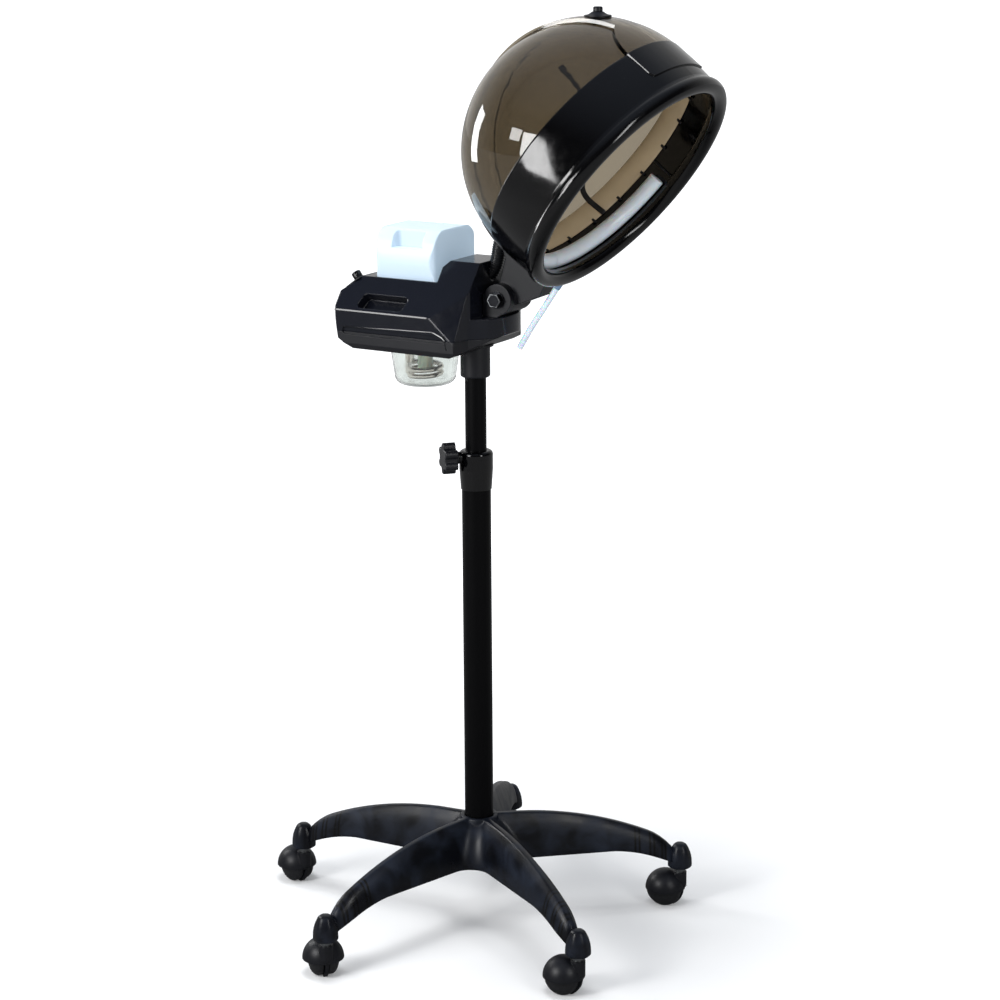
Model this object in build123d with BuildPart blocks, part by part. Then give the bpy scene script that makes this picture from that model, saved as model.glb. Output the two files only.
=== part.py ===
from build123d import *
from math import atan2, cos, degrees, radians, sin, sqrt, tan
import os

# Hooded hair and scalp steamer on a rolling five-arm stand. Millimetres, +Z up.
# The origin is on the floor under the mast, and +X is the way the hood faces.

os.makedirs("parts", exist_ok=True)

# ---------------------------------------------------------------- driving dimensions

slip = 0.05             # radial clearance of a running fit
touch = 0.3             # gap between parts that lie against each other

# casters
caster_trail = 20.0
caster_turns = (158.0, 136.0, 185.0, 200.0, 170.0)
wheel_radius = 23.0
wheel_inner = 3.0       # caster centre plane to the wheel's inner face
wheel_tread = 8.5       # centre plane to the edge of the flat tread
wheel_dome = 12.0       # the wheel's domed cap, past the tread
caster_hood_wall = 1.9
caster_hood_gap = 1.0
caster_boss_radius = 9.5
caster_web = 2.4        # half thickness of the web between the wheels
axle_radius = 3.0
stem_radius = 5.5
stem_flange_radius = 6.6
stem_length = 27.0      # inside the socket
stem_seat = 7.0         # inside the caster's hood

# star base, from the casters up
arm_count = 5
star_radius = 280.0     # mast axis to caster stem
star_turn = 3.9         # turn of the whole star about the mast
socket_gap = 8.0        # caster hood to the underside of its socket
socket_height = 34.0
socket_radius = 16.5
arm_tip_depth = 30.0
arm_tip_rise = 12.0     # underside of the socket to the underside of the arm's tip
arm_back = 18.0         # caster stem back to the end of the arm
arm_root_width = 42.0
arm_tip_width = 29.0
arm_wall = 4.0
web_radius = 25.0       # fillet between neighbouring arms
hub_height = 62.0
hub_boss_radius = 28.0
hub_land = 6.0          # plastic under the foot of the mast

# mast, from the hub up
lower_tube_radius = 19.25
lower_tube_wall = 1.7
lower_tube_length = 544.0
upper_tube_radius = 14.0
upper_tube_wall = 1.5
upper_tube_inside = 310.0       # length of the upper tube inside the lower one, at rest
upper_tube_outside = 166.0
collar_skirt = 33.0     # collar below and above the end of the lower tube
collar_crown = 19.0
collar_wall = 2.95
bush_length = 46.0
glide_length = 30.0
hub_bolt_radius = 5.0

# clamp knob
knob_turn = -133.4      # direction of the knob from the mast
knob_rise = 10.0        # end of the lower tube to the knob's screw
knob_radius = 21.0
knob_lobe_radius = 5.6
knob_lobes = 6
knob_thickness = 17.0
knob_clear = 6.8        # collar to the back of the lobes
clamp_screw_radius = 4.0

# what these sizes lead to
wheel_outer = wheel_tread + wheel_dome
caster_hood_top = 2 * (wheel_radius + 1)
socket_bottom = caster_hood_top + socket_gap
socket_top = socket_bottom + socket_height
arm_underside = socket_bottom + socket_height
hub_top = arm_underside + hub_height
hub_floor = arm_underside + hub_land
lower_tube_top = hub_floor + lower_tube_length
upper_tube_bottom = lower_tube_top - upper_tube_inside
upper_tube_top = lower_tube_top + upper_tube_outside
collar_bottom = lower_tube_top - collar_skirt
collar_top = lower_tube_top + collar_crown
collar_radius = lower_tube_radius + collar_wall
collar_foot_radius = lower_tube_radius + 1.15
knob_height = lower_tube_top + knob_rise
knob_start = collar_radius + knob_clear
hub_plug_radius = lower_tube_radius - lower_tube_wall
bush_radius = hub_plug_radius - slip


def write(piece, label):
    """Name a finished piece and write its STEP file."""
    piece.part.label = label
    export_step(piece.part, f"parts/{label}.step")


def polar(radius, angle, height=0.0):
    """A point from its radius and angle about the mast."""
    return Vector(radius * cos(radians(angle)), radius * sin(radians(angle)), height)


# ---------------------------------------------------------------- star base

arm_angles = [180 + star_turn + 360 / arm_count * k for k in range(arm_count)]
arm_end = star_radius - arm_back
arm_tip_bottom = socket_bottom + arm_tip_rise
arm_tip_top = arm_tip_bottom + arm_tip_depth
arm_shoulder = hub_top - 17     # height of the arm's back where it starts to dive
arm_belly = arm_underside - 8
hub_crown_radius = 60.0


def star_form(inset):
    """The webbed star as a solid, pulled in all round by inset."""
    with BuildPart() as form:
        with BuildSketch(Plane.XZ):
            with BuildLine():
                Line((0, arm_underside), (0, hub_top - inset))
                Line((0, hub_top - inset), (hub_crown_radius, hub_top - inset - 1))
                ThreePointArc((hub_crown_radius, hub_top - inset - 1), (arm_end - 95, arm_shoulder - inset),
                              (arm_end - inset, arm_tip_top - inset))
                Line((arm_end - inset, arm_tip_top - inset), (arm_end - inset, arm_tip_bottom))
                ThreePointArc((arm_end - inset, arm_tip_bottom), (arm_end - 34, arm_belly),
                              (arm_end - 77, arm_underside))
                Line((arm_end - 77, arm_underside), (0, arm_underside))
            make_face()
        revolve(axis=Axis.Z)
        with BuildSketch(Plane.XY.offset(socket_bottom)) as plan:
            for angle in arm_angles:
                across = polar(1, angle + 90)
                root = across * (arm_root_width / 2)
                tip = across * (arm_tip_width / 2)
                end = polar(arm_end, angle)
                with BuildLine():
                    Polyline(root, end + tip, end - tip, root * -1, close=True)
                make_face()
            inner_corners = plan.vertices().group_by(lambda v: round(Vector(v).length / 10))[0]
            fillet(inner_corners, radius=web_radius)
            if inset:
                offset(amount=-inset, kind=Kind.INTERSECTION)
        extrude(amount=hub_top - socket_bottom + 10, mode=Mode.INTERSECT)
    return form.part


star_body = star_form(0)
star_hollow = star_form(arm_wall)

with BuildPart() as hollow:
    add(star_hollow)
    Cylinder(hub_boss_radius, hub_top * 2, mode=Mode.SUBTRACT)

with BuildPart() as star_base:
    add(star_body)
    add(hollow.part, mode=Mode.SUBTRACT)
    # caster sockets, like acorns under the arm tips
    for angle in arm_angles:
        foot = polar(star_radius, angle)
        with BuildSketch(Plane(foot, x_dir=polar(1, angle), z_dir=polar(1, angle - 90))):
            with BuildLine():
                Line((0, socket_bottom), (socket_radius, socket_bottom))
                Line((socket_radius, socket_bottom), (socket_radius, socket_bottom + 4))
                ThreePointArc((socket_radius, socket_bottom + 4), (socket_radius - 3, socket_top - 14),
                              (9, socket_top - 3))
                ThreePointArc((9, socket_top - 3), (5, socket_top - 0.6), (0, socket_top))
                Line((0, socket_top), (0, socket_bottom))
            make_face()
        revolve(axis=Axis(foot, (0, 0, 1)))
        # neck that joins the socket to the arm
        neck = polar(arm_end - arm_wall, angle, (arm_tip_bottom + arm_tip_top) / 2)
        with BuildSketch(Plane(neck, x_dir=polar(1, angle + 90), z_dir=polar(1, angle))):
            RectangleRounded(arm_tip_width - 7, arm_tip_depth - 6, 6)
        extrude(amount=arm_back + 2)
    for angle in arm_angles:
        foot = polar(star_radius, angle, socket_bottom)
        with BuildSketch(Plane(foot, x_dir=polar(1, angle), z_dir=(0, 0, 1))):
            Circle(stem_radius + slip)
        extrude(amount=stem_length + 1, mode=Mode.SUBTRACT)
    # seat of the mast and hole of its bolt
    with BuildSketch(Plane.XY.offset(hub_floor)):
        Circle(lower_tube_radius + slip)
    extrude(amount=hub_top, mode=Mode.SUBTRACT)
    with BuildSketch(Plane.XY.offset(arm_underside)):
        Circle(hub_bolt_radius + touch)
    extrude(amount=hub_floor, mode=Mode.SUBTRACT)

write(star_base, "star_base")

# ---------------------------------------------------------------- mast

with BuildPart() as hub_bolt:
    # plug in the foot of the mast, washer under the hub, and the bolt between them
    with BuildSketch(Plane.XY.offset(hub_floor)):
        Circle(hub_plug_radius)
    extrude(amount=22)
    with BuildSketch(Plane.XY.offset(arm_underside - 2)):
        Circle(hub_bolt_radius + 9)
    extrude(amount=2)
    with BuildSketch(Plane.XY.offset(arm_underside - 2 - 7)):
        RegularPolygon(hub_bolt_radius + 3.5, 6, major_radius=False)
    extrude(amount=7)
    with BuildSketch(Plane.XY.offset(arm_underside - 2)):
        Circle(hub_bolt_radius)
    extrude(amount=hub_floor - arm_underside + 10)
write(hub_bolt, "hub_bolt")

with BuildPart() as lower_tube:
    with BuildSketch(Plane.XY.offset(hub_floor)):
        Circle(lower_tube_radius)
        Circle(hub_plug_radius, mode=Mode.SUBTRACT)
    extrude(amount=lower_tube_top - hub_floor)
write(lower_tube, "lower_tube")

with BuildPart() as guide_bush:
    with BuildSketch(Plane.XY.offset(lower_tube_top - bush_length)):
        Circle(bush_radius)
        Circle(upper_tube_radius + slip, mode=Mode.SUBTRACT)
    extrude(amount=bush_length)
write(guide_bush, "guide_bush")

knob_axis = polar(1, knob_turn)
knob_plane = Plane(polar(0, 0, knob_height), x_dir=(0, 0, 1), z_dir=knob_axis)

with BuildPart() as height_collar:
    with BuildSketch(Plane.XZ):
        with BuildLine():
            Polyline(
                (0, collar_bottom), (collar_foot_radius, collar_bottom), (collar_radius, lower_tube_top - 6),
                (collar_radius, collar_top - 5),
            )
            ThreePointArc((collar_radius, collar_top - 5), (collar_radius - 1.5, collar_top - 1.5),
                          (collar_radius - 5, collar_top))
            Polyline((collar_radius - 5, collar_top), (0, collar_top), (0, collar_bottom))
        make_face()
    revolve(axis=Axis.Z)
    # boss that carries the clamp screw
    with BuildSketch(knob_plane.offset(collar_radius - 6)):
        Circle(clamp_screw_radius + 4)
    extrude(amount=9)
    with BuildSketch(Plane.XY.offset(collar_bottom)):
        Circle(lower_tube_radius + slip)
    extrude(amount=lower_tube_top - collar_bottom, mode=Mode.SUBTRACT)
    with BuildSketch(Plane.XY.offset(lower_tube_top)):
        Circle(upper_tube_radius + slip)
    extrude(amount=collar_top, mode=Mode.SUBTRACT)
    with BuildSketch(knob_plane):
        Circle(clamp_screw_radius + slip)
    extrude(amount=collar_radius + 20, mode=Mode.SUBTRACT)
write(height_collar, "height_collar")

with BuildPart() as clamp_screw:
    with BuildSketch(knob_plane.offset(upper_tube_radius + touch)):
        Circle(clamp_screw_radius)
    extrude(amount=knob_start + knob_thickness - 5 - upper_tube_radius - touch)
write(clamp_screw, "clamp_screw")

with BuildPart() as clamp_knob:
    with BuildSketch(knob_plane.offset(knob_start)) as lobes:
        Circle(knob_radius - knob_lobe_radius)
        with PolarLocations(knob_radius - knob_lobe_radius, knob_lobes):
            Circle(knob_lobe_radius)
        fillet(lobes.vertices(), radius=1.5)
    extrude(amount=knob_thickness)
    fillet(clamp_knob.faces().sort_by(Axis(knob_plane.origin, knob_axis))[-1].edges(), radius=2)
    with BuildSketch(knob_plane.offset(knob_start)):
        Circle(clamp_screw_radius + 5)
    extrude(amount=-3.5)
    with BuildSketch(knob_plane.offset(knob_start - 4)):
        Circle(clamp_screw_radius)
    extrude(amount=knob_thickness - 1, mode=Mode.SUBTRACT)
write(clamp_knob, "clamp_knob")

with BuildPart() as upper_tube:
    with BuildSketch(Plane.XY.offset(upper_tube_bottom)):
        Circle(upper_tube_radius)
        Circle(upper_tube_radius - upper_tube_wall, mode=Mode.SUBTRACT)
    extrude(amount=upper_tube_top - upper_tube_bottom)
write(upper_tube, "upper_tube")

with BuildPart() as slide_guide:
    # nylon foot of the upper tube, a sliding fit in the lower tube
    with BuildSketch(Plane.XY.offset(upper_tube_bottom)):
        Circle(hub_plug_radius - slip)
        Circle(upper_tube_radius, mode=Mode.SUBTRACT)
    extrude(amount=glide_length)
    with BuildSketch(Plane.XY.offset(upper_tube_bottom)):
        Circle(hub_plug_radius - slip)
    extrude(amount=-4)
write(slide_guide, "slide_guide")


# ---------------------------------------------------------------- casters

ball_radius = sqrt(wheel_radius**2 + wheel_tread**2) + caster_hood_gap
hood_ball_radius = ball_radius + caster_hood_wall


def build_caster(number, foot_angle, trail_turn):
    """One hooded twin-wheel caster under an arm's socket."""
    foot = polar(star_radius, foot_angle)
    trail = polar(1, trail_turn)
    side = polar(1, trail_turn + 90)
    up = Vector(0, 0, 1)
    axle_centre = foot + trail * caster_trail + up * wheel_radius
    axle_axis = Axis(axle_centre, side)
    across = Plane(axle_centre, x_dir=side, z_dir=trail)

    with BuildPart() as hood:
        with BuildSketch(across):
            Circle(hood_ball_radius)
            with Locations((-hood_ball_radius, 0), (0, -hood_ball_radius)):
                Rectangle(2 * hood_ball_radius, 2 * hood_ball_radius, mode=Mode.SUBTRACT)
        revolve(axis=Axis(axle_centre, up))
        with BuildSketch(Plane(foot + up * caster_hood_top, x_dir=trail, z_dir=up)):
            Circle(caster_boss_radius)
        extrude(amount=wheel_radius + 4 - caster_hood_top)
        with BuildSketch(across):
            Circle(ball_radius)
            with Locations((-ball_radius, 0)):
                Rectangle(2 * ball_radius, 4 * ball_radius, mode=Mode.SUBTRACT)
        revolve(axis=Axis(axle_centre, up), mode=Mode.SUBTRACT)
        # web between the wheels, which holds the axle
        with BuildSketch(Plane(axle_centre - side * caster_web, x_dir=trail, z_dir=side)):
            Circle(ball_radius + 0.5)
            with Locations((0, -ball_radius - axle_radius - 4)):
                Rectangle(4 * ball_radius, 2 * ball_radius, mode=Mode.SUBTRACT)
        extrude(amount=2 * caster_web)
        with BuildSketch(Plane(axle_centre - side * caster_web * 2, x_dir=trail, z_dir=side)):
            Circle(axle_radius + slip)
        extrude(amount=4 * caster_web, mode=Mode.SUBTRACT)
        with BuildSketch(Plane(foot + up * caster_hood_top, x_dir=trail, z_dir=up)):
            Circle(stem_radius)
        extrude(amount=-stem_seat, mode=Mode.SUBTRACT)
    write(hood, f"caster_hood_{number}")

    with BuildPart() as pins:
        with BuildSketch(Plane(foot + up * (caster_hood_top - stem_seat), x_dir=trail, z_dir=up)):
            Circle(stem_radius)
        extrude(amount=socket_bottom + stem_length - caster_hood_top + stem_seat)
        with BuildSketch(Plane(foot + up * caster_hood_top, x_dir=trail, z_dir=up)):
            Circle(stem_flange_radius)
        extrude(amount=socket_bottom - touch - caster_hood_top)
        with BuildSketch(Plane(axle_centre, x_dir=trail, z_dir=side)):
            Circle(axle_radius)
        extrude(amount=wheel_outer - 4, both=True)
    write(pins, f"caster_pins_{number}")

    for label, way in (("left", 1), ("right", -1)):
        face = Plane(axle_centre, x_dir=side * way, z_dir=trail * way)
        with BuildPart() as wheel:
            with BuildSketch(face):
                with BuildLine():
                    Line((wheel_inner, 0), (wheel_inner, wheel_radius - 1))
                    Line((wheel_inner, wheel_radius - 1), (wheel_inner + 1, wheel_radius))
                    Line((wheel_inner + 1, wheel_radius), (wheel_tread, wheel_radius))
                    EllipticalCenterArc(
                        (wheel_tread, 0), wheel_outer - wheel_tread, wheel_radius, start_angle=0, arc_size=90
                    )
                    Line((wheel_outer, 0), (wheel_inner, 0))
                make_face()
            revolve(axis=axle_axis)
            with BuildSketch(Plane(axle_centre, x_dir=trail, z_dir=side * way)):
                Circle(axle_radius + slip)
            extrude(amount=wheel_outer - 4 + touch, mode=Mode.SUBTRACT)
        write(wheel, f"caster_wheel_{label}_{number}")


for index, (arm_angle, caster_turn) in enumerate(zip(arm_angles, caster_turns)):
    build_caster(index + 1, arm_angle, caster_turn)


# ---------------------------------------------------------------- steam unit

# The unit is sized from its floor up, through the boiler and its duct to the tank, and from the mast back.
housing_wall = 3.0
half_width = 85.0
socket_grip = 11.0      # end of the mast above the unit's floor
socket_length = 49.0
socket_wall_radius = upper_tube_radius + 5.5
socket_flange_radius = socket_wall_radius + 4.5
housing_bottom = upper_tube_top - socket_grip
socket_mouth = upper_tube_top - socket_length

# boiler
cup_radius = 45.5
cup_depth = 54.0        # below the unit's floor
cup_wall = 2.4
cup_taper = 6.0
gasket_height = 6.0
ring_rise = 17.0        # top of the boiler's ring above the unit's floor
ring_wall = 4.4         # outside the cup
ring_flange = 2.7
flange_thickness = 3.0
coil_radius = 21.0
coil_tube_radius = 3.2
coil_pitch = 8.0
coil_rise = 10.0        # above the bottom of the cup
feed_tube_radius = 10.0
feed_tube_rise = 19.0   # above the bottom of the cup
duct_height = 12.0
collector_height = duct_height + 4
port_radius = 8.0
port_wall = 2.0
cup_foot_radius = cup_radius - cup_taper
cup_bottom = housing_bottom - cup_depth
ring_top = housing_bottom + ring_rise
cup_rim = ring_top - gasket_height
ring_body_radius = cup_radius + ring_wall
ring_radius = ring_body_radius + ring_flange
coil_height = cup_bottom + coil_rise
feed_tube_end = cup_bottom + feed_tube_rise
chamber_floor = ring_top + flange_thickness

# water tank
tank_length = 90.0
tank_height = 88.0
tank_half_width = half_width - 36
tank_wall = 2.5
tank_corner = 9.0
tank_bulge = 5.0        # how far the sides swell above the deck
tank_crown_half_width = 22.0    # half width of the flat top
tank_gap = 0.8
tank_sunk = 24.0        # depth of the tank's well
neck_radius = 13.0
neck_length = 12.0
cap_radius = 17.0
cap_height = 14.0
cap_clear = 8.0         # cap to the floor of its seat
seat_gap = 5.7          # seat's underside to the collector below it
valve_radius = 3.0
seat_floor = chamber_floor + collector_height + seat_gap + housing_wall
tank_bottom = seat_floor + cap_clear + touch + cap_height
tank_top = tank_bottom + tank_height

# housing outline: X forward along the machine, Z up, the two sides alike
deck_height = tank_bottom + tank_sunk
back_top = deck_height - 19     # top of the upright back, where the control slope starts
side_height = deck_height - 41  # top of the upright side panels
nose_top = deck_height - 43
hump_top = deck_height + 26
parting_height = housing_bottom + 22    # joint between the lower and upper housings
hump_back = -24.0
hump_front = 28.0
nose_front = 57.0
keel_front = 10.0       # where the floor starts to rise to the nose
tank_x = hump_back - 5 - tank_length / 2
boiler_x = tank_x - 3
slope_end_x = tank_x - tank_length / 2 - 18
back_x = slope_end_x - 26
nose_shoulder = (nose_front - 13, half_width - 43)
front_corner = (nose_front - 31, half_width - 25)
skirt_front = nose_front - 38   # front of the upright side panels
shoulder_slope = 0.79   # how far the shoulders lean in for each millimetre up
back_corner_radius = 5.0

# flat facet from the side panel to the nose, by a point on it and its outward normal
facet_point = Vector(nose_front - 75, -half_width, side_height + 1)
facet_normal = Vector(0.278, -0.909, 0.312).normalized()

# tilt pivot of the hood
ear_radius = 20.0
ear_inner = 17.5        # mast plane to the inner face of an ear
ear_outer = 27.5
hex_flats = 17.0
pivot_radius = 5.0
pivot_x = hump_front + ear_radius + 2
pivot_z = nose_top + ear_radius + 3

boiler_plane = Plane((boiler_x, 0, 0))


def disc(centre_plane, height, radius, amount):
    """Add a round boss to the part in hand, from a height above its plane."""
    with BuildSketch(centre_plane.offset(height)) as face:
        Circle(radius)
    extrude(face.sketch, amount=amount)


def housing_form(inset):
    """The whole steam unit as one solid, pulled in all round by inset."""
    nose_end = nose_front + 10
    slope_up = (nose_end - keel_front) * 0.53
    with BuildPart() as form:
        with BuildSketch(Plane.XZ):
            with BuildLine():
                Polyline(
                    (slope_end_x, housing_bottom), (back_x + 6, housing_bottom + 13), (back_x, side_height),
                    (back_x, back_top), (slope_end_x, deck_height), (hump_back, deck_height),
                    (hump_back, hump_top - 8), (hump_back + 8, hump_top), (hump_front, hump_top),
                    (hump_front, nose_top), (nose_end, nose_top), (nose_end, housing_bottom + slope_up),
                    (keel_front, housing_bottom), close=True,
                )
            make_face()
            if inset:
                offset(amount=-inset, kind=Kind.INTERSECTION)
        extrude(amount=2 * half_width, both=True)
        with BuildSketch(Plane.YZ):
            rise = hump_top + 10
            crown = half_width - shoulder_slope * (rise - side_height)
            with BuildLine():
                half = [
                    (half_width - 5, housing_bottom),
                    (half_width, housing_bottom + 7),
                    (half_width, side_height),
                    (crown, rise),
                ]
                Polyline(*half, *[(-y, z) for y, z in reversed(half)], close=True)
            make_face()
            if inset:
                offset(amount=-inset, kind=Kind.INTERSECTION)
        extrude(amount=-2 * back_x, both=True, mode=Mode.INTERSECT)
        with BuildSketch() as plan:
            shoulder_x, shoulder_y = nose_shoulder
            corner_x, corner_y = front_corner
            with BuildLine():
                Polyline((shoulder_x, shoulder_y), (corner_x, corner_y), (skirt_front, half_width),
                         (back_x, half_width), (back_x, -half_width), (skirt_front, -half_width),
                         (corner_x, -corner_y), (shoulder_x, -shoulder_y))
                ThreePointArc((shoulder_x, -shoulder_y), (nose_front, 0), (shoulder_x, shoulder_y))
            make_face()
            fillet(plan.vertices().group_by(Axis.X)[0], radius=back_corner_radius)
            if inset:
                offset(amount=-inset, kind=Kind.INTERSECTION)
        extrude(amount=2 * hump_top, mode=Mode.INTERSECT)
        for side in (1, -1):
            normal = Vector(facet_normal.X, facet_normal.Y * side, facet_normal.Z)
            point = Vector(facet_point.X, facet_point.Y * side, facet_point.Z)
            split(bisect_by=Plane(point - normal * inset, z_dir=normal), keep=Keep.BOTTOM)
    return form.part


# finger recess in each shoulder, on a plane that lies in the shoulder
recess_x = tank_x - 23
recess_height = side_height + 12.5
recess_length = 69.0
recess_width = 21.0
recess_depth = 15.0
recess_slant = 7.0      # the recess leans forward towards its upper edge


def recess_form(grow):
    """Both finger recesses as solids, grown all round by grow."""
    with BuildPart() as form:
        for side in (1, -1):
            y = half_width - shoulder_slope * (recess_height - side_height)
            normal = Vector(0, side, shoulder_slope).normalized()
            plane = Plane((recess_x, side * y, recess_height), x_dir=(1, 0, 0), z_dir=normal)
            upper = -side * recess_width / 2
            half = recess_length / 2
            with BuildSketch(plane.offset(-recess_depth - grow)) as outline:
                with BuildLine():
                    Polyline((-half, -upper), (half, -upper), (half + recess_slant, upper),
                             (recess_slant - half, upper), close=True)
                make_face()
                fillet(outline.vertices(), radius=5)
                if grow:
                    offset(amount=grow)
            extrude(amount=recess_depth + grow + 12)
    return form.part


well_length = tank_length + 2 * tank_gap
well_width = 2 * (tank_half_width + tank_gap)
well_floor = tank_bottom - touch
seat_radius = cap_radius + 2.5
valve_pin_top = tank_bottom - cap_height + 3

# control slope at the back: a plane in its surface, y along the machine's width
slope_run = Vector(slope_end_x - back_x, 0, deck_height - back_top)
slope_middle = Vector((back_x + slope_end_x) / 2, 0, (back_top + deck_height) / 2)
control_plane = Plane(slope_middle, x_dir=(0, -1, 0), z_dir=(-slope_run.Z, 0, slope_run.X))
panel_thickness = 1.5
timer_at = 40.0         # along the control plane
timer_knob_radius = 6.5
timer_knob_height = 12.0
timer_shaft_radius = 3.0
timer_depth = 17.0
switch_length = 20.0
switch_width = 11.0
switch_gap = 0.7
switch_at = -12.0

inlet_y = half_width - 37
inlet_z = back_top - 11
inlet_size = (28.0, 17.0)
inlet_recess = (22.0, 12.0)
inlet_depth = 18.0
inlet_hole_gap = 0.2

screw_corners = ((back_x + 23, half_width - 22), (0, half_width - 27))
screw_places = [(x, side * y) for x, y in screw_corners for side in (1, -1)]
screw_radius = 1.8
screw_boss_radius = 4.6
screw_top = parting_height + 15

housing_body = housing_form(0)
housing_hollow = housing_form(housing_wall)
recess_cut = recess_form(0)
recess_walls = recess_form(housing_wall) & housing_body

# shadow gap along each side, at the joint of the two housings
gap_height = 9.0
gap_depth = 2.4
gap_length = 158.0
gap_plane = Plane((back_x + 13 + gap_length / 2, 0, parting_height + 1.5), x_dir=(1, 0, 0), z_dir=(0, 1, 0))
with BuildPart() as gap_backing:
    for side in (1, -1):
        with BuildSketch(gap_plane.offset(side * (half_width - housing_wall))):
            RectangleRounded(gap_length + 6, gap_height + 6, 4)
        extrude(amount=-side * gap_depth)

with BuildPart() as screw_bosses:
    with BuildSketch(Plane.XY.offset(housing_bottom)):
        with Locations(*screw_places):
            Circle(screw_boss_radius)
    extrude(amount=hump_top - housing_bottom)
    add(housing_body, mode=Mode.INTERSECT)

port_point = Vector(hump_front - 10, 0, hump_top - 24)
port_axis = Plane(port_point, x_dir=(0, 1, 0), z_dir=(1, 0, 1))

with BuildPart() as casing:
    add(housing_body)
    add(housing_hollow, mode=Mode.SUBTRACT)
    # walls of the tank well, its floor and the valve seat below it
    with BuildSketch(Plane.XY.offset(well_floor - housing_wall)):
        with Locations((tank_x, 0)):
            Rectangle(well_length + 2 * housing_wall, well_width + 2 * housing_wall)
    extrude(amount=deck_height - well_floor + housing_wall)
    with BuildSketch(Plane.XY.offset(seat_floor - housing_wall)):
        with Locations((tank_x, 0)):
            Circle(seat_radius + housing_wall)
    extrude(amount=well_floor - seat_floor)
    with BuildSketch(Plane.XY.offset(well_floor)):
        with Locations((tank_x, 0)):
            Rectangle(well_length, well_width)
    extrude(amount=deck_height, mode=Mode.SUBTRACT)
    with BuildSketch(Plane.XY.offset(seat_floor)):
        with Locations((tank_x, 0)):
            Circle(seat_radius)
    extrude(amount=deck_height, mode=Mode.SUBTRACT)
    with BuildSketch(Plane.XY.offset(seat_floor)):
        with Locations((tank_x, 0)):
            Circle(valve_radius - 1)
    extrude(amount=valve_pin_top - seat_floor)
    # shadow gaps, with a doubled wall behind them
    add(gap_backing.part)
    for side in (1, -1):
        with BuildSketch(gap_plane.offset(side * (half_width - gap_depth))):
            RectangleRounded(gap_length, gap_height, gap_height / 2 - 0.2)
        extrude(amount=side * 2 * gap_depth, mode=Mode.SUBTRACT)
    # finger recesses
    add(recess_walls)
    add(recess_cut, mode=Mode.SUBTRACT)
    # screw bosses and their holes
    add(screw_bosses.part)
    with BuildSketch(Plane.XY.offset(housing_bottom)):
        with Locations(*screw_places):
            Circle(screw_radius + slip)
    extrude(amount=screw_top + 1 - housing_bottom, mode=Mode.SUBTRACT)
    with BuildSketch(Plane.XY.offset(housing_bottom)):
        with Locations(*screw_places):
            Circle(2 * screw_radius + slip)
    extrude(amount=3, mode=Mode.SUBTRACT)
    # openings in the floor for the boiler and the mast socket
    with BuildSketch(Plane.XY.offset(housing_bottom - 1)):
        with Locations((boiler_x, 0)):
            Circle(ring_body_radius + 0.2)
        Circle(socket_wall_radius + touch)
    extrude(amount=12, mode=Mode.SUBTRACT)
    with BuildSketch(Plane.XY.offset(housing_bottom + housing_wall)):
        Circle(socket_flange_radius + touch)
    extrude(amount=12, mode=Mode.SUBTRACT)
    # openings for the timer shaft, the switch and the power inlet
    with BuildSketch(control_plane.offset(-2 * housing_wall)):
        with Locations((timer_at, 0)):
            Circle(timer_shaft_radius + 1)
        with Locations((switch_at, 0)):
            Rectangle(switch_length + 2 * switch_gap, switch_width + 2 * switch_gap)
    extrude(amount=20, mode=Mode.SUBTRACT)
    with BuildSketch(Plane((back_x - 1, inlet_y, inlet_z), x_dir=(0, 1, 0), z_dir=(1, 0, 0))):
        Rectangle(inlet_size[0] + 2 * inlet_hole_gap, inlet_size[1] + 2 * inlet_hole_gap)
    extrude(amount=housing_wall + 2, mode=Mode.SUBTRACT)
    # steam outlet in the front of the hump
    with BuildSketch(port_axis):
        Circle(port_radius + touch)
    extrude(amount=30, mode=Mode.SUBTRACT)

with BuildPart() as upper_housing:
    add(casing.part)
    split(bisect_by=Plane.XY.offset(parting_height), keep=Keep.TOP)
write(upper_housing, "upper_housing")

with BuildPart() as lower_housing:
    add(casing.part)
    split(bisect_by=Plane.XY.offset(parting_height), keep=Keep.BOTTOM)
write(lower_housing, "lower_housing")

with BuildPart() as mast_socket:
    disc(Plane.XY, socket_mouth, socket_wall_radius, upper_tube_top + 4 - socket_mouth)
    fillet(mast_socket.edges().group_by(Axis.Z)[0], radius=3)
    disc(Plane.XY, housing_bottom + housing_wall, socket_flange_radius, 3)
    with BuildSketch(Plane.XY.offset(socket_mouth)):
        Circle(upper_tube_radius + slip)
    extrude(amount=upper_tube_top + touch - socket_mouth, mode=Mode.SUBTRACT)
write(mast_socket, "mast_socket")

with BuildPart() as housing_screws:
    with BuildSketch(Plane.XY.offset(housing_bottom + 0.5)):
        with Locations(*screw_places):
            Circle(2 * screw_radius)
    extrude(amount=2.5)
    with BuildSketch(Plane.XY.offset(housing_bottom + 3)):
        with Locations(*screw_places):
            Circle(screw_radius)
    extrude(amount=screw_top - housing_bottom - 3)
write(housing_screws, "housing_screws")

with BuildPart() as control_panel:
    with BuildSketch(control_plane):
        RectangleRounded(2 * half_width - 52, slope_run.length - 4, 4)
        with Locations((timer_at, 0)):
            Circle(timer_shaft_radius + 1, mode=Mode.SUBTRACT)
        with Locations((switch_at, 0)):
            Rectangle(switch_length + 2 * switch_gap, switch_width + 2 * switch_gap, mode=Mode.SUBTRACT)
    extrude(amount=panel_thickness)
write(control_panel, "control_panel")

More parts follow.
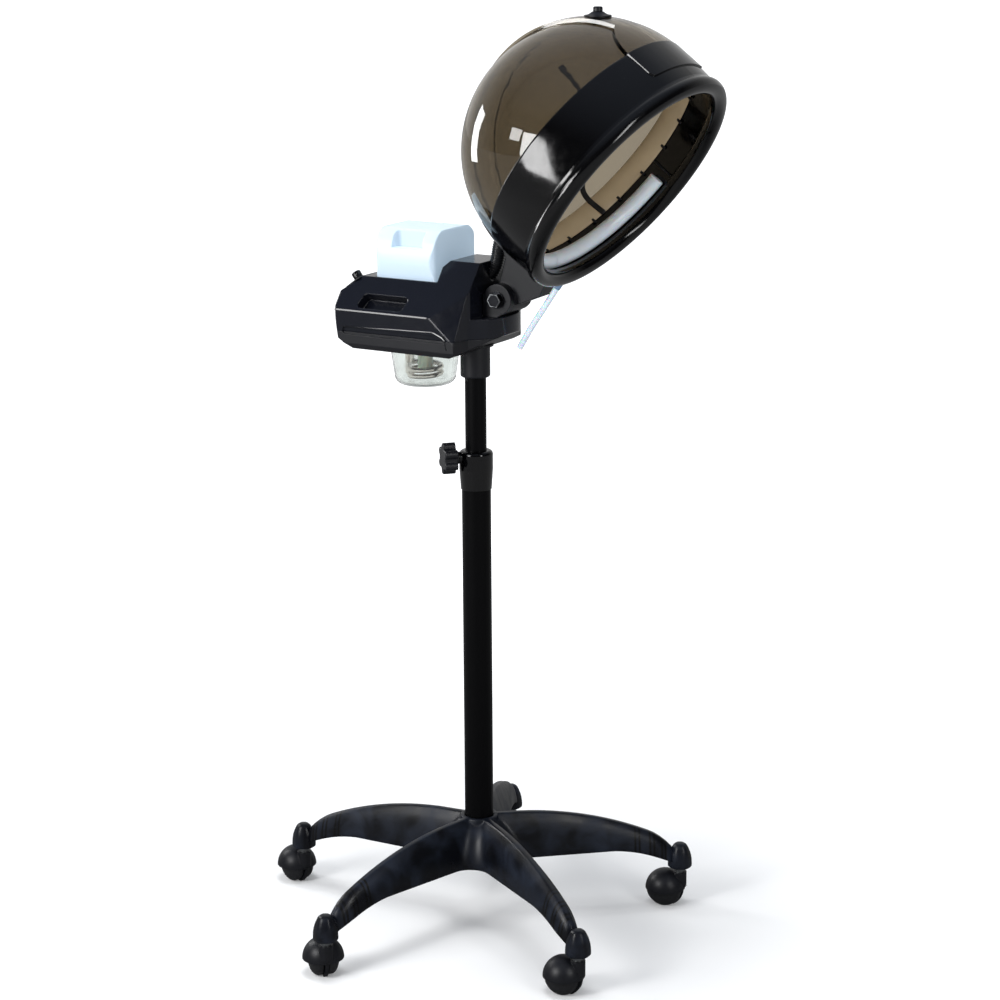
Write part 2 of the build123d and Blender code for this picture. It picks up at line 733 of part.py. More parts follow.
with BuildPart() as timer_unit:
    with BuildSketch(control_plane.offset(-housing_wall)):
        with Locations((timer_at, 0)):
            Rectangle(26, 19)
    extrude(amount=-timer_depth)
    with BuildSketch(control_plane.offset(-housing_wall)):
        with Locations((timer_at, 0)):
            Circle(timer_shaft_radius + slip)
    extrude(amount=-timer_depth / 2, mode=Mode.SUBTRACT)
write(timer_unit, "timer_unit")

with BuildPart() as timer_knob:
    base = control_plane.offset(panel_thickness + touch)
    with BuildSketch(base):
        with Locations((timer_at, 0)):
            Circle(timer_knob_radius)
    extrude(amount=timer_knob_height)
    chamfer(timer_knob.edges().sort_by(Axis(base.origin, base.z_dir))[-1], length=1)
    with BuildSketch(base):
        with Locations((timer_at, 0)):
            Circle(timer_shaft_radius)
    extrude(amount=-(panel_thickness + touch + housing_wall + timer_depth / 2 - 1))
write(timer_knob, "timer_knob")

rocker_axis_depth = 4.0
with BuildPart() as power_switch:
    with BuildSketch(control_plane.offset(-rocker_axis_depth - 2)):
        with Locations((switch_at, 0)):
            Rectangle(switch_length - 6, switch_width)
    with BuildSketch(control_plane.offset(panel_thickness + 1.5)):
        with Locations((switch_at, 0)):
            Rectangle(switch_length, switch_width)
    loft()
write(power_switch, "power_switch")

with BuildPart() as power_inlet:
    outer = Plane((back_x - 1.5, inlet_y, inlet_z), x_dir=(0, 1, 0), z_dir=(1, 0, 0))
    with BuildSketch(outer):
        RectangleRounded(inlet_size[0] + 8, inlet_size[1] + 4, 2)
    extrude(amount=1.5)
    with BuildSketch(outer):
        Rectangle(*inlet_size)
    extrude(amount=inlet_depth)
    with BuildSketch(outer):
        RectangleRounded(*inlet_recess, 2)
    extrude(amount=inlet_depth - 3, mode=Mode.SUBTRACT)
    with BuildSketch(outer.offset(inlet_depth - 3)):
        with Locations((-6.5, -1), (0, 2), (6.5, -1)):
            Rectangle(2, 4)
    extrude(amount=-10)
write(power_inlet, "power_inlet")

# ---------------------------------------------------------------- boiler

lug_count = 3
lug_top = cup_rim - 3
lug_bottom = lug_top - 3
lug_reach = 2.4

with BuildPart() as boiler_cup:
    with BuildSketch(Plane((boiler_x, 0, 0), x_dir=(1, 0, 0), z_dir=(0, -1, 0))):
        with BuildLine():
            Polyline((0, cup_bottom), (cup_foot_radius - 10, cup_bottom))
            ThreePointArc((cup_foot_radius - 10, cup_bottom), (cup_foot_radius - 2.6, cup_bottom + 3.2),
                          (cup_foot_radius + 1, cup_bottom + 11))
            Polyline((cup_foot_radius + 1, cup_bottom + 11), (cup_radius, housing_bottom - 8),
                     (cup_radius, cup_rim), (cup_radius - cup_wall, cup_rim),
                     (cup_radius - cup_wall, housing_bottom - 8),
                     (cup_foot_radius + 1 - cup_wall, cup_bottom + 11))
            ThreePointArc((cup_foot_radius + 1 - cup_wall, cup_bottom + 11),
                          (cup_foot_radius - 4.6, cup_bottom + 4.9),
                          (cup_foot_radius - 10, cup_bottom + cup_wall))
            Line((cup_foot_radius - 10, cup_bottom + cup_wall), (0, cup_bottom + cup_wall))
            Line((0, cup_bottom + cup_wall), (0, cup_bottom))
        make_face()
    revolve(axis=Axis((boiler_x, 0, 0), (0, 0, 1)))
    # bayonet lugs
    with BuildSketch(boiler_plane.offset(lug_bottom)):
        with PolarLocations(cup_radius, lug_count):
            Rectangle(2 * lug_reach, 9)
        Circle(cup_radius - 1, mode=Mode.SUBTRACT)
    extrude(amount=lug_top - lug_bottom)
write(boiler_cup, "boiler_cup")

with BuildPart() as cup_ring:
    disc(boiler_plane, housing_bottom + housing_wall, ring_radius, 2.5)
    disc(boiler_plane, housing_bottom, ring_body_radius, ring_top - housing_bottom)
    with BuildSketch(boiler_plane.offset(housing_bottom)):
        Circle(cup_radius + touch)
    extrude(amount=ring_top - housing_bottom, mode=Mode.SUBTRACT)
    with BuildSketch(boiler_plane.offset(lug_bottom - touch)):
        Circle(cup_radius + lug_reach + touch)
    extrude(amount=lug_top - lug_bottom + 2 * touch, mode=Mode.SUBTRACT)
    # entry slots for the lugs, a part turn away from where they lock
    with BuildSketch(boiler_plane.rotated((0, 0, 35)).offset(housing_bottom)):
        with PolarLocations(cup_radius, lug_count):
            Rectangle(2 * lug_reach + 2 * touch, 10)
    extrude(amount=lug_top - housing_bottom, mode=Mode.SUBTRACT)
write(cup_ring, "cup_ring")

with BuildPart() as cup_gasket:
    with BuildSketch(boiler_plane.offset(cup_rim + touch)):
        Circle(cup_radius)
        Circle(cup_radius - 5, mode=Mode.SUBTRACT)
    extrude(amount=ring_top - cup_rim - touch)
write(cup_gasket, "cup_gasket")

# two turns of sheathed element, and the two legs that rise behind it through the flange
coil_turns = 2
coil_start = Vector(coil_radius, 0, 0)
coil_end = Vector(coil_radius, 0, coil_turns * coil_pitch)
coil_knee = coil_start + Vector(2.2 * coil_tube_radius, 0, 0)
leg_top = ring_top + flange_thickness + 4 - coil_height

with BuildPart() as coil:
    with BuildLine() as coil_line:
        Helix(coil_pitch, coil_turns * coil_pitch, coil_radius)
    with BuildSketch(Plane(coil_start, z_dir=coil_line.line % 0)):
        Circle(coil_tube_radius)
    sweep(path=coil_line.line, is_frenet=True)
    with Locations(coil_start, coil_end):
        Sphere(coil_tube_radius)
    with BuildLine() as leg_line:
        FilletPolyline(coil_start, coil_knee, Vector(coil_knee.X, 0, leg_top), radius=coil_tube_radius + 0.8)
    with BuildSketch(Plane(coil_start, z_dir=(1, 0, 0))):
        Circle(coil_tube_radius)
    sweep(path=leg_line.line)
    with BuildSketch(Plane(coil_end)):
        Circle(coil_tube_radius)
    extrude(amount=leg_top - coil_end.Z)

leg_places = [(boiler_x - leg.X, 0) for leg in (coil_end, coil_knee)]
with BuildPart() as heater_coil:
    with Locations(Location((boiler_x, 0, coil_height), (0, 0, 180))):
        add(coil.part)
write(heater_coil, "heater_coil")

with BuildPart() as heater_flange:
    disc(boiler_plane, ring_top, ring_body_radius, flange_thickness)
    with BuildSketch(Plane.XY.offset(ring_top)):
        with Locations(*leg_places):
            Circle(coil_tube_radius + slip)
        with Locations((boiler_x, 0)):
            Circle(feed_tube_radius + slip)
        with Locations((boiler_x, coil_radius + 5)):
            Circle(4)
    extrude(amount=flange_thickness, mode=Mode.SUBTRACT)
write(heater_flange, "heater_flange")

with BuildPart() as feed_tube:
    with BuildSketch(boiler_plane.offset(feed_tube_end)):
        Circle(feed_tube_radius)
        Circle(feed_tube_radius - 2, mode=Mode.SUBTRACT)
    extrude(amount=ring_top + flange_thickness + 1 - feed_tube_end)
write(feed_tube, "feed_tube")

riser_front = 22.0
riser_back = 2.0
duct_width = 28.0
duct_floor = chamber_floor + 2

with BuildPart() as steam_chamber:
    # collector over the boiler, duct over the mast socket and riser in the hump
    for inset in (0.0, port_wall):
        mode = Mode.SUBTRACT if inset else Mode.ADD
        with BuildSketch(Plane.XY.offset(chamber_floor + inset)):
            with Locations((boiler_x, 0)):
                Circle(cup_radius - 2 - inset)
        extrude(amount=collector_height - 2 * inset, mode=mode)
        with BuildSketch(Plane.XY.offset(duct_floor + inset)):
            with Locations(((boiler_x + riser_front) / 2, 0)):
                Rectangle(riser_front - boiler_x - 2 * inset, duct_width - 2 * inset)
        extrude(amount=duct_height - 2 * inset, mode=mode)
        with BuildSketch(Plane.XY.offset(duct_floor + inset)):
            with Locations(((riser_back + riser_front) / 2, 0)):
                Rectangle(riser_front - riser_back - 2 * inset, duct_width - 4 - 2 * inset)
        extrude(amount=port_point.Z + 12 - duct_floor - 2 * inset, mode=mode)
    with BuildSketch(port_axis.offset(-2 - touch)):
        Circle(port_radius + touch)
    extrude(amount=30, mode=Mode.SUBTRACT)
    with BuildSketch(boiler_plane.offset(chamber_floor)):
        Circle(feed_tube_radius + touch)
    extrude(amount=port_wall, mode=Mode.SUBTRACT)
    with BuildSketch(Plane.XY.offset(chamber_floor)):
        with Locations(*leg_places):
            Circle(coil_tube_radius + 1)
    extrude(amount=port_wall, mode=Mode.SUBTRACT)
write(steam_chamber, "steam_chamber")

nozzle_length = 18.0
with BuildPart() as steam_nozzle:
    with BuildSketch(port_axis.offset(-2)):
        Circle(port_radius)
        Circle(port_radius - port_wall, mode=Mode.SUBTRACT)
    extrude(amount=nozzle_length)
write(steam_nozzle, "steam_nozzle")

# ---------------------------------------------------------------- water tank

grip_length = 46.0
grip_height = 24.0
grip_depth = 14.0


def tank_form(inset):
    """The tank's body as a solid, pulled in all round by inset, with a grip recess along both top edges."""
    with BuildPart() as form:
        with BuildSketch(Plane.YZ.offset(tank_x)):
            wide = tank_half_width - inset
            belly = deck_height + 0.4 * (tank_top - deck_height)
            for side in (1, -1):
                with BuildLine():
                    Line((0, tank_top - inset), (0, tank_bottom + inset))
                    Line((0, tank_bottom + inset), (side * wide, tank_bottom + inset))
                    Line((side * wide, tank_bottom + inset), (side * wide, deck_height + 1))
                    ThreePointArc((side * wide, deck_height + 1), (side * (wide + tank_bulge), belly),
                                  (side * (wide + 1), tank_top - 20))
                    ThreePointArc((side * (wide + 1), tank_top - 20),
                                  (side * (tank_crown_half_width + wide) * 0.58, tank_top - 5.5 - inset),
                                  (side * tank_crown_half_width, tank_top - inset))
                    Line((side * tank_crown_half_width, tank_top - inset), (0, tank_top - inset))
                make_face()
        extrude(amount=tank_length / 2 - inset, both=True)
        with BuildSketch(Plane.XY.offset(tank_bottom)):
            with Locations((tank_x, 0)):
                RectangleRounded(tank_length - 2 * inset, 2 * (tank_half_width + tank_bulge),
                                 tank_corner - inset)
        extrude(amount=tank_height, mode=Mode.INTERSECT)
        for side in (1, -1):
            with BuildSketch(Plane.XY.offset(tank_top - grip_height - inset)):
                with Locations((tank_x + 3, side * (tank_half_width + 4 - inset))):
                    RectangleRounded(grip_length + 2 * inset, 2 * grip_depth + 8, 7)
            extrude(amount=2 * grip_height, mode=Mode.SUBTRACT)
    return form.part


tank_body = tank_form(0)
tank_hollow = tank_form(tank_wall)

with BuildPart() as water_tank:
    add(tank_body)
    with BuildSketch(Plane.XY.offset(tank_bottom)):
        with Locations((tank_x, 0)):
            Circle(neck_radius)
    extrude(amount=-neck_length)
    add(tank_hollow, mode=Mode.SUBTRACT)
    with BuildSketch(Plane.XY.offset(tank_bottom - neck_length)):
        with Locations((tank_x, 0)):
            Circle(neck_radius - tank_wall)
    extrude(amount=neck_length + 2 * tank_wall, mode=Mode.SUBTRACT)
write(water_tank, "water_tank")

cap_floor = tank_bottom - cap_height
tank_plane = Plane((tank_x, 0, 0))
with BuildPart() as tank_cap:
    disc(tank_plane, cap_floor, cap_radius, cap_height - touch)
    with BuildSketch(tank_plane.offset(tank_bottom - neck_length - touch)):
        Circle(neck_radius + slip)
    extrude(amount=cap_height, mode=Mode.SUBTRACT)
    with BuildSketch(tank_plane.offset(cap_floor + 2.5)):
        Circle(neck_radius - tank_wall)
    extrude(amount=cap_height, mode=Mode.SUBTRACT)
    with BuildSketch(tank_plane.offset(cap_floor)):
        Circle(valve_radius)
    extrude(amount=cap_height, mode=Mode.SUBTRACT)
write(tank_cap, "tank_cap")

with BuildPart() as tank_valve:
    disc(tank_plane, valve_pin_top + touch, valve_radius - slip, 10)
    disc(tank_plane, valve_pin_top + 2 * touch, valve_radius + 4, 2)
write(tank_valve, "tank_valve")

# ---------------------------------------------------------------- tilt hinge

knuckle_radius = 20.0


def side_plane(y):
    """A sketch plane at one y, with x forward and z up."""
    return Plane((0, y, 0), x_dir=(1, 0, 0), z_dir=(0, -1, 0))


with BuildPart() as tilt_bracket:
    with BuildSketch(Plane.XY.offset(nose_top)):
        with Locations(((hump_front + touch + pivot_x) / 2, 0)):
            Rectangle(pivot_x - hump_front - touch, 2 * ear_outer)
    extrude(amount=4)
    with BuildSketch(Plane.XZ):
        with Locations((pivot_x, pivot_z)):
            Circle(ear_radius)
        with BuildLine():
            Polyline((hump_front + 1, nose_top), (pivot_x, nose_top),
                     (pivot_x + ear_radius * 0.8, pivot_z - ear_radius * 0.6), (pivot_x, pivot_z + 6),
                     (hump_front + 1, pivot_z + 6), close=True)
        make_face()
    extrude(amount=ear_outer, both=True)
    with BuildSketch(Plane.XZ):
        with Locations((pivot_x, pivot_z + ear_radius)):
            Rectangle(3 * ear_radius, 2 * (pivot_z + ear_radius - nose_top - 4))
        with Locations((pivot_x, pivot_z)):
            Circle(knuckle_radius + 1)
    extrude(amount=ear_inner, both=True, mode=Mode.SUBTRACT)
    with BuildSketch(Plane.XZ):
        with Locations((pivot_x, pivot_z)):
            Circle(pivot_radius + slip)
    extrude(amount=2 * ear_outer, both=True, mode=Mode.SUBTRACT)
write(tilt_bracket, "tilt_bracket")

washer_radius = 11.0
washer_thickness = 2.0
with BuildPart() as pivot_bolt:
    with BuildSketch(side_plane(-ear_outer)):
        with Locations((pivot_x, pivot_z)):
            Circle(washer_radius)
    extrude(amount=washer_thickness)
    with BuildSketch(side_plane(-ear_outer - washer_thickness)):
        with Locations((pivot_x, pivot_z)):
            RegularPolygon(hex_flats / 2, 6, major_radius=False)
    extrude(amount=7)
    with BuildSketch(side_plane(-ear_outer)):
        with Locations((pivot_x, pivot_z)):
            Circle(pivot_radius)
    extrude(amount=-2 * ear_outer - 11)
write(pivot_bolt, "pivot_bolt")

with BuildPart() as pivot_nut:
    with BuildSketch(side_plane(ear_outer)):
        with Locations((pivot_x, pivot_z)):
            Circle(washer_radius)
            Circle(pivot_radius + slip, mode=Mode.SUBTRACT)
    extrude(amount=-washer_thickness)
    with BuildSketch(side_plane(ear_outer + washer_thickness)):
        with Locations((pivot_x, pivot_z)):
            RegularPolygon(hex_flats / 2, 6, major_radius=False)
            Circle(pivot_radius + slip, mode=Mode.SUBTRACT)
    extrude(amount=-8)
write(pivot_nut, "pivot_nut")

# ---------------------------------------------------------------- hood

dome_radius = 160.0     # in the machine's side plane
dome_half_width = dome_radius + 8
hood_centre = Vector(pivot_x + dome_radius - 38, 0, pivot_z + dome_radius + 34)
hood_pitch = degrees(atan2(4, 3))       # lean of the opening from the horizontal
dome_wall = 3.0
band_half_width = 26.0  # raised band over the middle of the dome
band_height = 4.5
visor_half_width = 66.0 # raised arch over the front of the dome
visor_rise = 61.0
brow_forward = 36.0     # front edge of the brow, which carries the arch on over the rim
brow_height = 2.5
dome_edge = 19.5        # plane of the dome's rim, forward of its centre
rim_back = -8.0         # back edge of the rim ring
lip_forward = 63.0      # plane of the rolled lip
lip_radius = 11.0
rim_skin = 2.2          # how far the rim stands off the dome
rim_inside = 2.5        # rim's inner wall, out from the lip's centre line

out = Vector(sin(radians(hood_pitch)), 0, -cos(radians(hood_pitch)))
along = Vector(cos(radians(hood_pitch)), 0, sin(radians(hood_pitch)))
hood_plane = Plane(hood_centre, x_dir=along, z_dir=out)
hood_line = Axis(hood_centre, (0, 1, 0))
dome_stretch = dome_half_width / dome_radius
lip_offset = dome_radius + touch - 5.8
lip_length = lip_offset                 # half size of the lip's centre line, up the slope
lip_width = lip_offset + dome_half_width - dome_radius
dome_seat = dome_radius + touch - lip_offset


def hood_point(slope, forward, across=0.0):
    """A point of the hood from its distances up the slope, out of the opening and sideways."""
    return hood_centre + along * slope + out * forward + Vector(0, across, 0)


def dome_form(radius, end, half_width=0.0):
    """Back part of a ball, cut flat at one plane and stretched across; half_width trims it to a band."""
    with BuildPart() as form:
        with Locations(hood_plane):
            Sphere(radius)
        split(bisect_by=hood_plane.offset(end), keep=Keep.BOTTOM)
        if half_width:
            Box(6 * radius, 2 * half_width / dome_stretch, 20 * radius, mode=Mode.INTERSECT)
        scale(by=(1, dome_stretch, 1))
    return form.part


vent_plane = Plane((hood_centre.X + 8, 0, 0))
vent_seat_top = hood_centre.Z + dome_radius + band_height + 5
vent_hole_radius = 5.0
inlet_turn = 222.0      # angle of the steam inlet about the hood's centre
inlet_way = Vector(cos(radians(inlet_turn)), 0, sin(radians(inlet_turn)))
inlet_plane = Plane(hood_centre, x_dir=(0, 1, 0), z_dir=inlet_way)

dome_body = dome_form(dome_radius, dome_edge)
dome_band = dome_form(dome_radius + band_height, rim_back - touch, band_half_width)
dome_raised = dome_form(dome_radius + band_height, rim_back - touch)
dome_cavity = dome_form(dome_radius - dome_wall, dome_edge + 1)
front_plane = Plane(hood_centre, x_dir=(0, 1, 0), z_dir=along)     # looks up the slope at the hood's front

with BuildPart() as visor:
    add(dome_raised)
    with BuildSketch(front_plane):
        Ellipse(visor_half_width, visor_rise)
    extrude(amount=2 * dome_radius, mode=Mode.INTERSECT)
    add(dome_cavity, mode=Mode.SUBTRACT)

with BuildPart() as dome_shell:
    add(dome_body)
    add(dome_band)
    add(dome_cavity, mode=Mode.SUBTRACT)
    add(visor.part)
    with BuildSketch(vent_plane.offset(hood_centre.Z)):
        Circle(vent_hole_radius + touch)
    extrude(amount=2 * dome_radius, mode=Mode.SUBTRACT)
    with BuildSketch(inlet_plane):
        Circle(port_radius + touch)
    extrude(amount=2 * dome_radius, mode=Mode.SUBTRACT)
write(dome_shell, "dome_shell")

spout_forward = lip_forward + 3
spout_radius = 4.5
spout_start = lip_length + 2
spout_end = lip_length + lip_radius + 6
hose_start = spout_end + touch
spout_plane = Plane(hood_point(0, spout_forward), x_dir=(0, 1, 0), z_dir=along * -1)

rim_outside = dome_seat + rim_skin

# brow: a raised pad with rounded lower corners, on the front of the rim
with BuildPart() as brow:
    with BuildSketch(hood_plane.offset(rim_back)):
        Ellipse(lip_length + rim_outside + brow_height, lip_width + rim_outside + brow_height)
        Ellipse(lip_length + rim_outside - 1, lip_width + rim_outside - 1, mode=Mode.SUBTRACT)
    extrude(amount=brow_forward - rim_back)
    with BuildSketch(front_plane):
        RectangleRounded(2 * visor_half_width, 2 * brow_forward, 8)
    extrude(amount=2 * dome_radius, mode=Mode.INTERSECT)

with BuildPart() as rim_ring:
    with BuildLine(hood_plane.offset(lip_forward)) as lip_line:
        EllipticalCenterArc((0, 0), lip_length, lip_width, start_angle=0, arc_size=360)
    # the section's x runs outward from the lip and its y out of the opening
    with BuildSketch(Plane(hood_point(lip_length, lip_forward), x_dir=along, z_dir=(0, 1, 0))):
        back = rim_back - lip_forward
        edge = dome_edge - lip_forward
        with BuildLine():
            Polyline((dome_seat, back), (rim_outside - 0.6, back), (rim_outside, back + 2))
            ThreePointArc((rim_outside, back + 2), (rim_outside + 0.8, back / 2),
                          (rim_outside - 0.6, -lip_radius))
            Line((rim_outside - 0.6, -lip_radius), (rim_outside, -6.5))
            Polyline((rim_outside, -6.5), (0, 0), (-7, -8.4), (rim_inside, -lip_radius - 0.5))
            Polyline((rim_inside, -lip_radius - 0.5), (rim_inside, edge), (dome_seat, edge),
                     (dome_seat, back))
        make_face()
        Circle(lip_radius)
    sweep(path=lip_line.line)
    add(brow.part)
    with BuildSketch(spout_plane.offset(spout_start)):
        Circle(spout_radius + slip)
    extrude(amount=2 * lip_radius, mode=Mode.SUBTRACT)
write(rim_ring, "rim_ring")

with BuildPart() as drain_spout:
    with BuildSketch(spout_plane.offset(spout_start)):
        Circle(spout_radius)
        Circle(spout_radius - 1.5, mode=Mode.SUBTRACT)
    extrude(amount=spout_end - spout_start)
write(drain_spout, "drain_spout")

# steam distribution tube, inside the far half of the rim
steam_tube_radius = 10.0
tube_inset = steam_tube_radius + 2 * touch - rim_inside
tube_forward = lip_forward - lip_radius - steam_tube_radius - 1
tube_first = 178.0
tube_sweep = 78.0
tube_length_axis = lip_length - tube_inset
tube_width_axis = lip_width - tube_inset
with BuildPart() as steam_tube:
    with BuildLine(hood_plane.offset(tube_forward)) as tube_line:
        EllipticalCenterArc((0, 0), tube_length_axis, tube_width_axis, start_angle=tube_first,
                            arc_size=tube_sweep)
    with BuildSketch(Plane(tube_line.line @ 0, z_dir=tube_line.line % 0)):
        Circle(steam_tube_radius)
        Circle(steam_tube_radius - 1.5, mode=Mode.SUBTRACT)
    sweep(path=tube_line.line)
write(steam_tube, "steam_tube")

arm_half_width = 14.0
saddle_half_width = 34.0
saddle_thickness = 7.5
saddle_first = 214.0
saddle_last = 229.5
gusset_front = 56.0
rim_radius = rim_outside + 0.8 + touch  # widest part of the rim, out from the lip's centre line
dome_outside = dome_form(dome_radius + touch, dome_edge)
band_outside = dome_form(dome_radius + band_height + touch, rim_back, band_half_width + touch)
saddle_start = Vector(cos(radians(saddle_last)), 0, sin(radians(saddle_last)))

with BuildPart() as hood_arm:
    with BuildSketch(Plane.XZ):
        with Locations((pivot_x, pivot_z)):
            Circle(knuckle_radius)
    extrude(amount=ear_inner - touch, both=True)
    web = [
        (pivot_x - 4, pivot_z + 19), (pivot_x + 5, pivot_z + 51), (pivot_x - 5, pivot_z + 80),
        (hood_centre.X - 60, hood_centre.Z - 60)
    ]
    for slope, forward in ((-lip_length, 30), (-lip_length, gusset_front), (-lip_length - 18, gusset_front)):
        corner = hood_point(slope, forward)
        web.append((corner.X, corner.Z))
    web += [(pivot_x + 54, pivot_z + 6), (pivot_x + 26, pivot_z - 5), (pivot_x + 16, pivot_z - 8)]
    with BuildSketch(Plane.XZ):
        with BuildLine():
            Polyline(*web, close=True)
        make_face()
    extrude(amount=arm_half_width, both=True)
    # saddle that hugs the back of the dome
    with BuildSketch(Plane(hood_centre, x_dir=(0, 1, 0), z_dir=Vector(0, 1, 0).cross(saddle_start))):
        Ellipse(dome_half_width + band_height + saddle_thickness,
                dome_radius + band_height + saddle_thickness)
        with Locations((0, dome_radius)):
            Rectangle(2 * saddle_half_width, dome_radius, mode=Mode.INTERSECT)
    revolve(axis=hood_line, revolution_arc=saddle_last - saddle_first)
    add(dome_outside, mode=Mode.SUBTRACT)
    add(band_outside, mode=Mode.SUBTRACT)
    # clear of the rim ring
    with BuildSketch(hood_plane.offset(rim_back - touch)):
        Ellipse(lip_length + rim_radius, lip_width + rim_radius)
    extrude(amount=lip_forward, mode=Mode.SUBTRACT)
    with BuildSketch(hood_plane.offset(lip_forward - lip_radius - touch)):
        Ellipse(lip_length + lip_radius + touch, lip_width + lip_radius + touch)
    extrude(amount=2 * lip_radius, mode=Mode.SUBTRACT)
    with BuildSketch(Plane.XZ):
        with Locations((pivot_x, pivot_z)):
            Circle(pivot_radius + slip)
    extrude(amount=2 * ear_outer, both=True, mode=Mode.SUBTRACT)
    with BuildSketch(inlet_plane):
        Circle(port_radius + touch)
    extrude(amount=2 * dome_radius, mode=Mode.SUBTRACT)
write(hood_arm, "hood_arm")

# roof vent: a seat on the dome and the knob that turns in it
vent_knob_radius = 6.0
with BuildPart() as vent_seat:
    with BuildSketch(side_plane(0)):
        with BuildLine():
            x = vent_plane.origin.X
            low = hood_centre.Z + dome_radius + band_height - 6
            Polyline((x, low), (x + 17, low), (x + 17, low + 7))
            ThreePointArc((x + 17, low + 7), (x + 11, low + 8.5), (x + 7.5, vent_seat_top))
            Polyline((x + 7.5, vent_seat_top), (x, vent_seat_top), (x, low))
        make_face()
    revolve(axis=Axis(vent_plane.origin, (0, 0, 1)))
    add(band_outside, mode=Mode.SUBTRACT)
    with BuildSketch(vent_plane.offset(hood_centre.Z)):
        Circle(vent_hole_radius - 1 + slip)
    extrude(amount=2 * dome_radius, mode=Mode.SUBTRACT)
write(vent_seat, "vent_seat")

with BuildPart() as vent_knob:
    disc(vent_plane, vent_seat_top + touch, vent_knob_radius, 6)
    fillet(vent_knob.edges().group_by(Axis.Z)[-1], radius=2)
    disc(vent_plane, vent_seat_top - 16, vent_hole_radius - 1, 17)
write(vent_knob, "vent_knob")

# drain hose: it hangs from the spout, along the slope
hose_radius = 4.0
hose_points = ((-hose_start, spout_forward), (-206.0, 67.5), (-238.0, 68.2), (-270.0, 71.5))
hose_route = [hood_point(slope, forward) for slope, forward in hose_points]
bends = []
for before, here, after in zip(hose_route, hose_route[1:], hose_route[2:]):
    turn = (here - before).get_angle(after - here)
    shorter = min((here - before).length, (after - here).length)
    bends.append(0.45 * shorter / tan(radians(turn / 2)))
print("hose bend radii", [round(bend) for bend in bends])
with BuildPart() as drain_hose:
    with BuildLine():
        hose_wire = FilletPolyline(*hose_route, radius=bends)
    with BuildSketch(Plane(hose_wire @ 0, z_dir=hose_wire % 0)):
        Circle(hose_radius)
    sweep(path=hose_wire)
print("hose length", round(hose_wire.length, 1))
write(drain_hose, "drain_hose")
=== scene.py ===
# %% [markdown]
# # A hooded hair steamer on a rolling stand
# The machine stands in a hair salon. A smoked plastic hood hangs over the customer's head, and a small boiler
# behind it makes the steam. This lesson dresses a finished CAD model: the CAD gives every part its place, and
# Blender gives it the look of moulded plastic, enamelled tube, acrylic and silicone.
# All lengths are metres. +X is the way the hood faces, +Z is up, and the origin is on the floor under the mast.

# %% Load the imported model
import bpy
import bmesh
from math import cos, pi, radians, sin, sqrt, tan
from mathutils import Matrix, Vector
from mathutils.geometry import interpolate_bezier


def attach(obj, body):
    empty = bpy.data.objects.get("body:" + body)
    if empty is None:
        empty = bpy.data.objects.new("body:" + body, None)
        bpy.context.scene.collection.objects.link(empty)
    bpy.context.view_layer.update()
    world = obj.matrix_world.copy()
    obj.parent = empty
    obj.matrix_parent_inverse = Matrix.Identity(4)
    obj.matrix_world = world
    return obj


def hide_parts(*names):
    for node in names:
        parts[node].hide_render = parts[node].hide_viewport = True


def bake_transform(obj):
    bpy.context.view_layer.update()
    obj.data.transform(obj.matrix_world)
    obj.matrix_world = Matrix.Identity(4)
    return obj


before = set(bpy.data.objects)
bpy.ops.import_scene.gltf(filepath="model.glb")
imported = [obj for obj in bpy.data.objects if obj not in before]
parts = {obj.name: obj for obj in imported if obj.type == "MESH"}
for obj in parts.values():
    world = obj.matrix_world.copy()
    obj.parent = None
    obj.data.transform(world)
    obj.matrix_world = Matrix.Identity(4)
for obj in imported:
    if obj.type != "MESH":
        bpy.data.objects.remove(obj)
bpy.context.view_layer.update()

# %% [markdown]
# ## The camera
# A product shot is taken from a few metres away with a long lens, so that the mast stays parallel. The camera
# looks down a little on the star base and sees the hood's opening from the side. We write the camera's three
# axes as the columns of a matrix, which is the plainest way to give a camera a place, an aim and a slight roll.

# %% Place the camera
camera_data = bpy.data.cameras.new("shop_camera")
camera_data.lens = 93.71
camera_data.sensor_width = 36
camera_data.clip_end = 200
camera = bpy.data.objects.new("shop_camera", camera_data)
bpy.context.scene.collection.objects.link(camera)
camera_right = Vector((0.85825, 0.51320, -0.00611))
camera_up = Vector((-0.12111, 0.21408, 0.96928))
camera_back = camera_right.cross(camera_up)
camera.matrix_world = Matrix.Translation((1.73694, -2.83443, 1.434)) @ Matrix(
    (camera_right, camera_up, camera_back)).transposed().to_4x4()
bpy.context.scene.camera = camera
bpy.context.scene.view_settings.view_transform = "Standard"
print("camera at", [round(c, 2) for c in camera.location])

# %% [markdown]
# ## Colours and nodes
# Colour pickers and paint charts give sRGB values, while Blender's shaders want linear light. One function turns
# a hex code into linear light. A second one adds a shader node, sets its values and joins it to other nodes, so
# that every material below reads like a list of what the surface does.

# %% Two helpers for materials
def paint(hex_code, alpha=1.0):
    """A linear colour from an sRGB hex code."""
    values = [int(hex_code[i:i + 2], 16) / 255 for i in (1, 3, 5)]
    linear = [v / 12.92 if v <= 0.04045 else ((v + 0.055) / 1.055) ** 2.4 for v in values]
    return (*linear, alpha)


def add(tree, kind, inputs=None, links=None, **settings):
    """Adds a node, sets its properties and input values, and links its inputs to other nodes' outputs."""
    new = tree.nodes.new(kind)
    for name, value in settings.items():
        setattr(new, name, value)
    for name, value in (inputs or {}).items():
        new.inputs[name].default_value = value
    for name, source in (links or {}).items():
        tree.links.new(source, new.inputs[name])
    return new


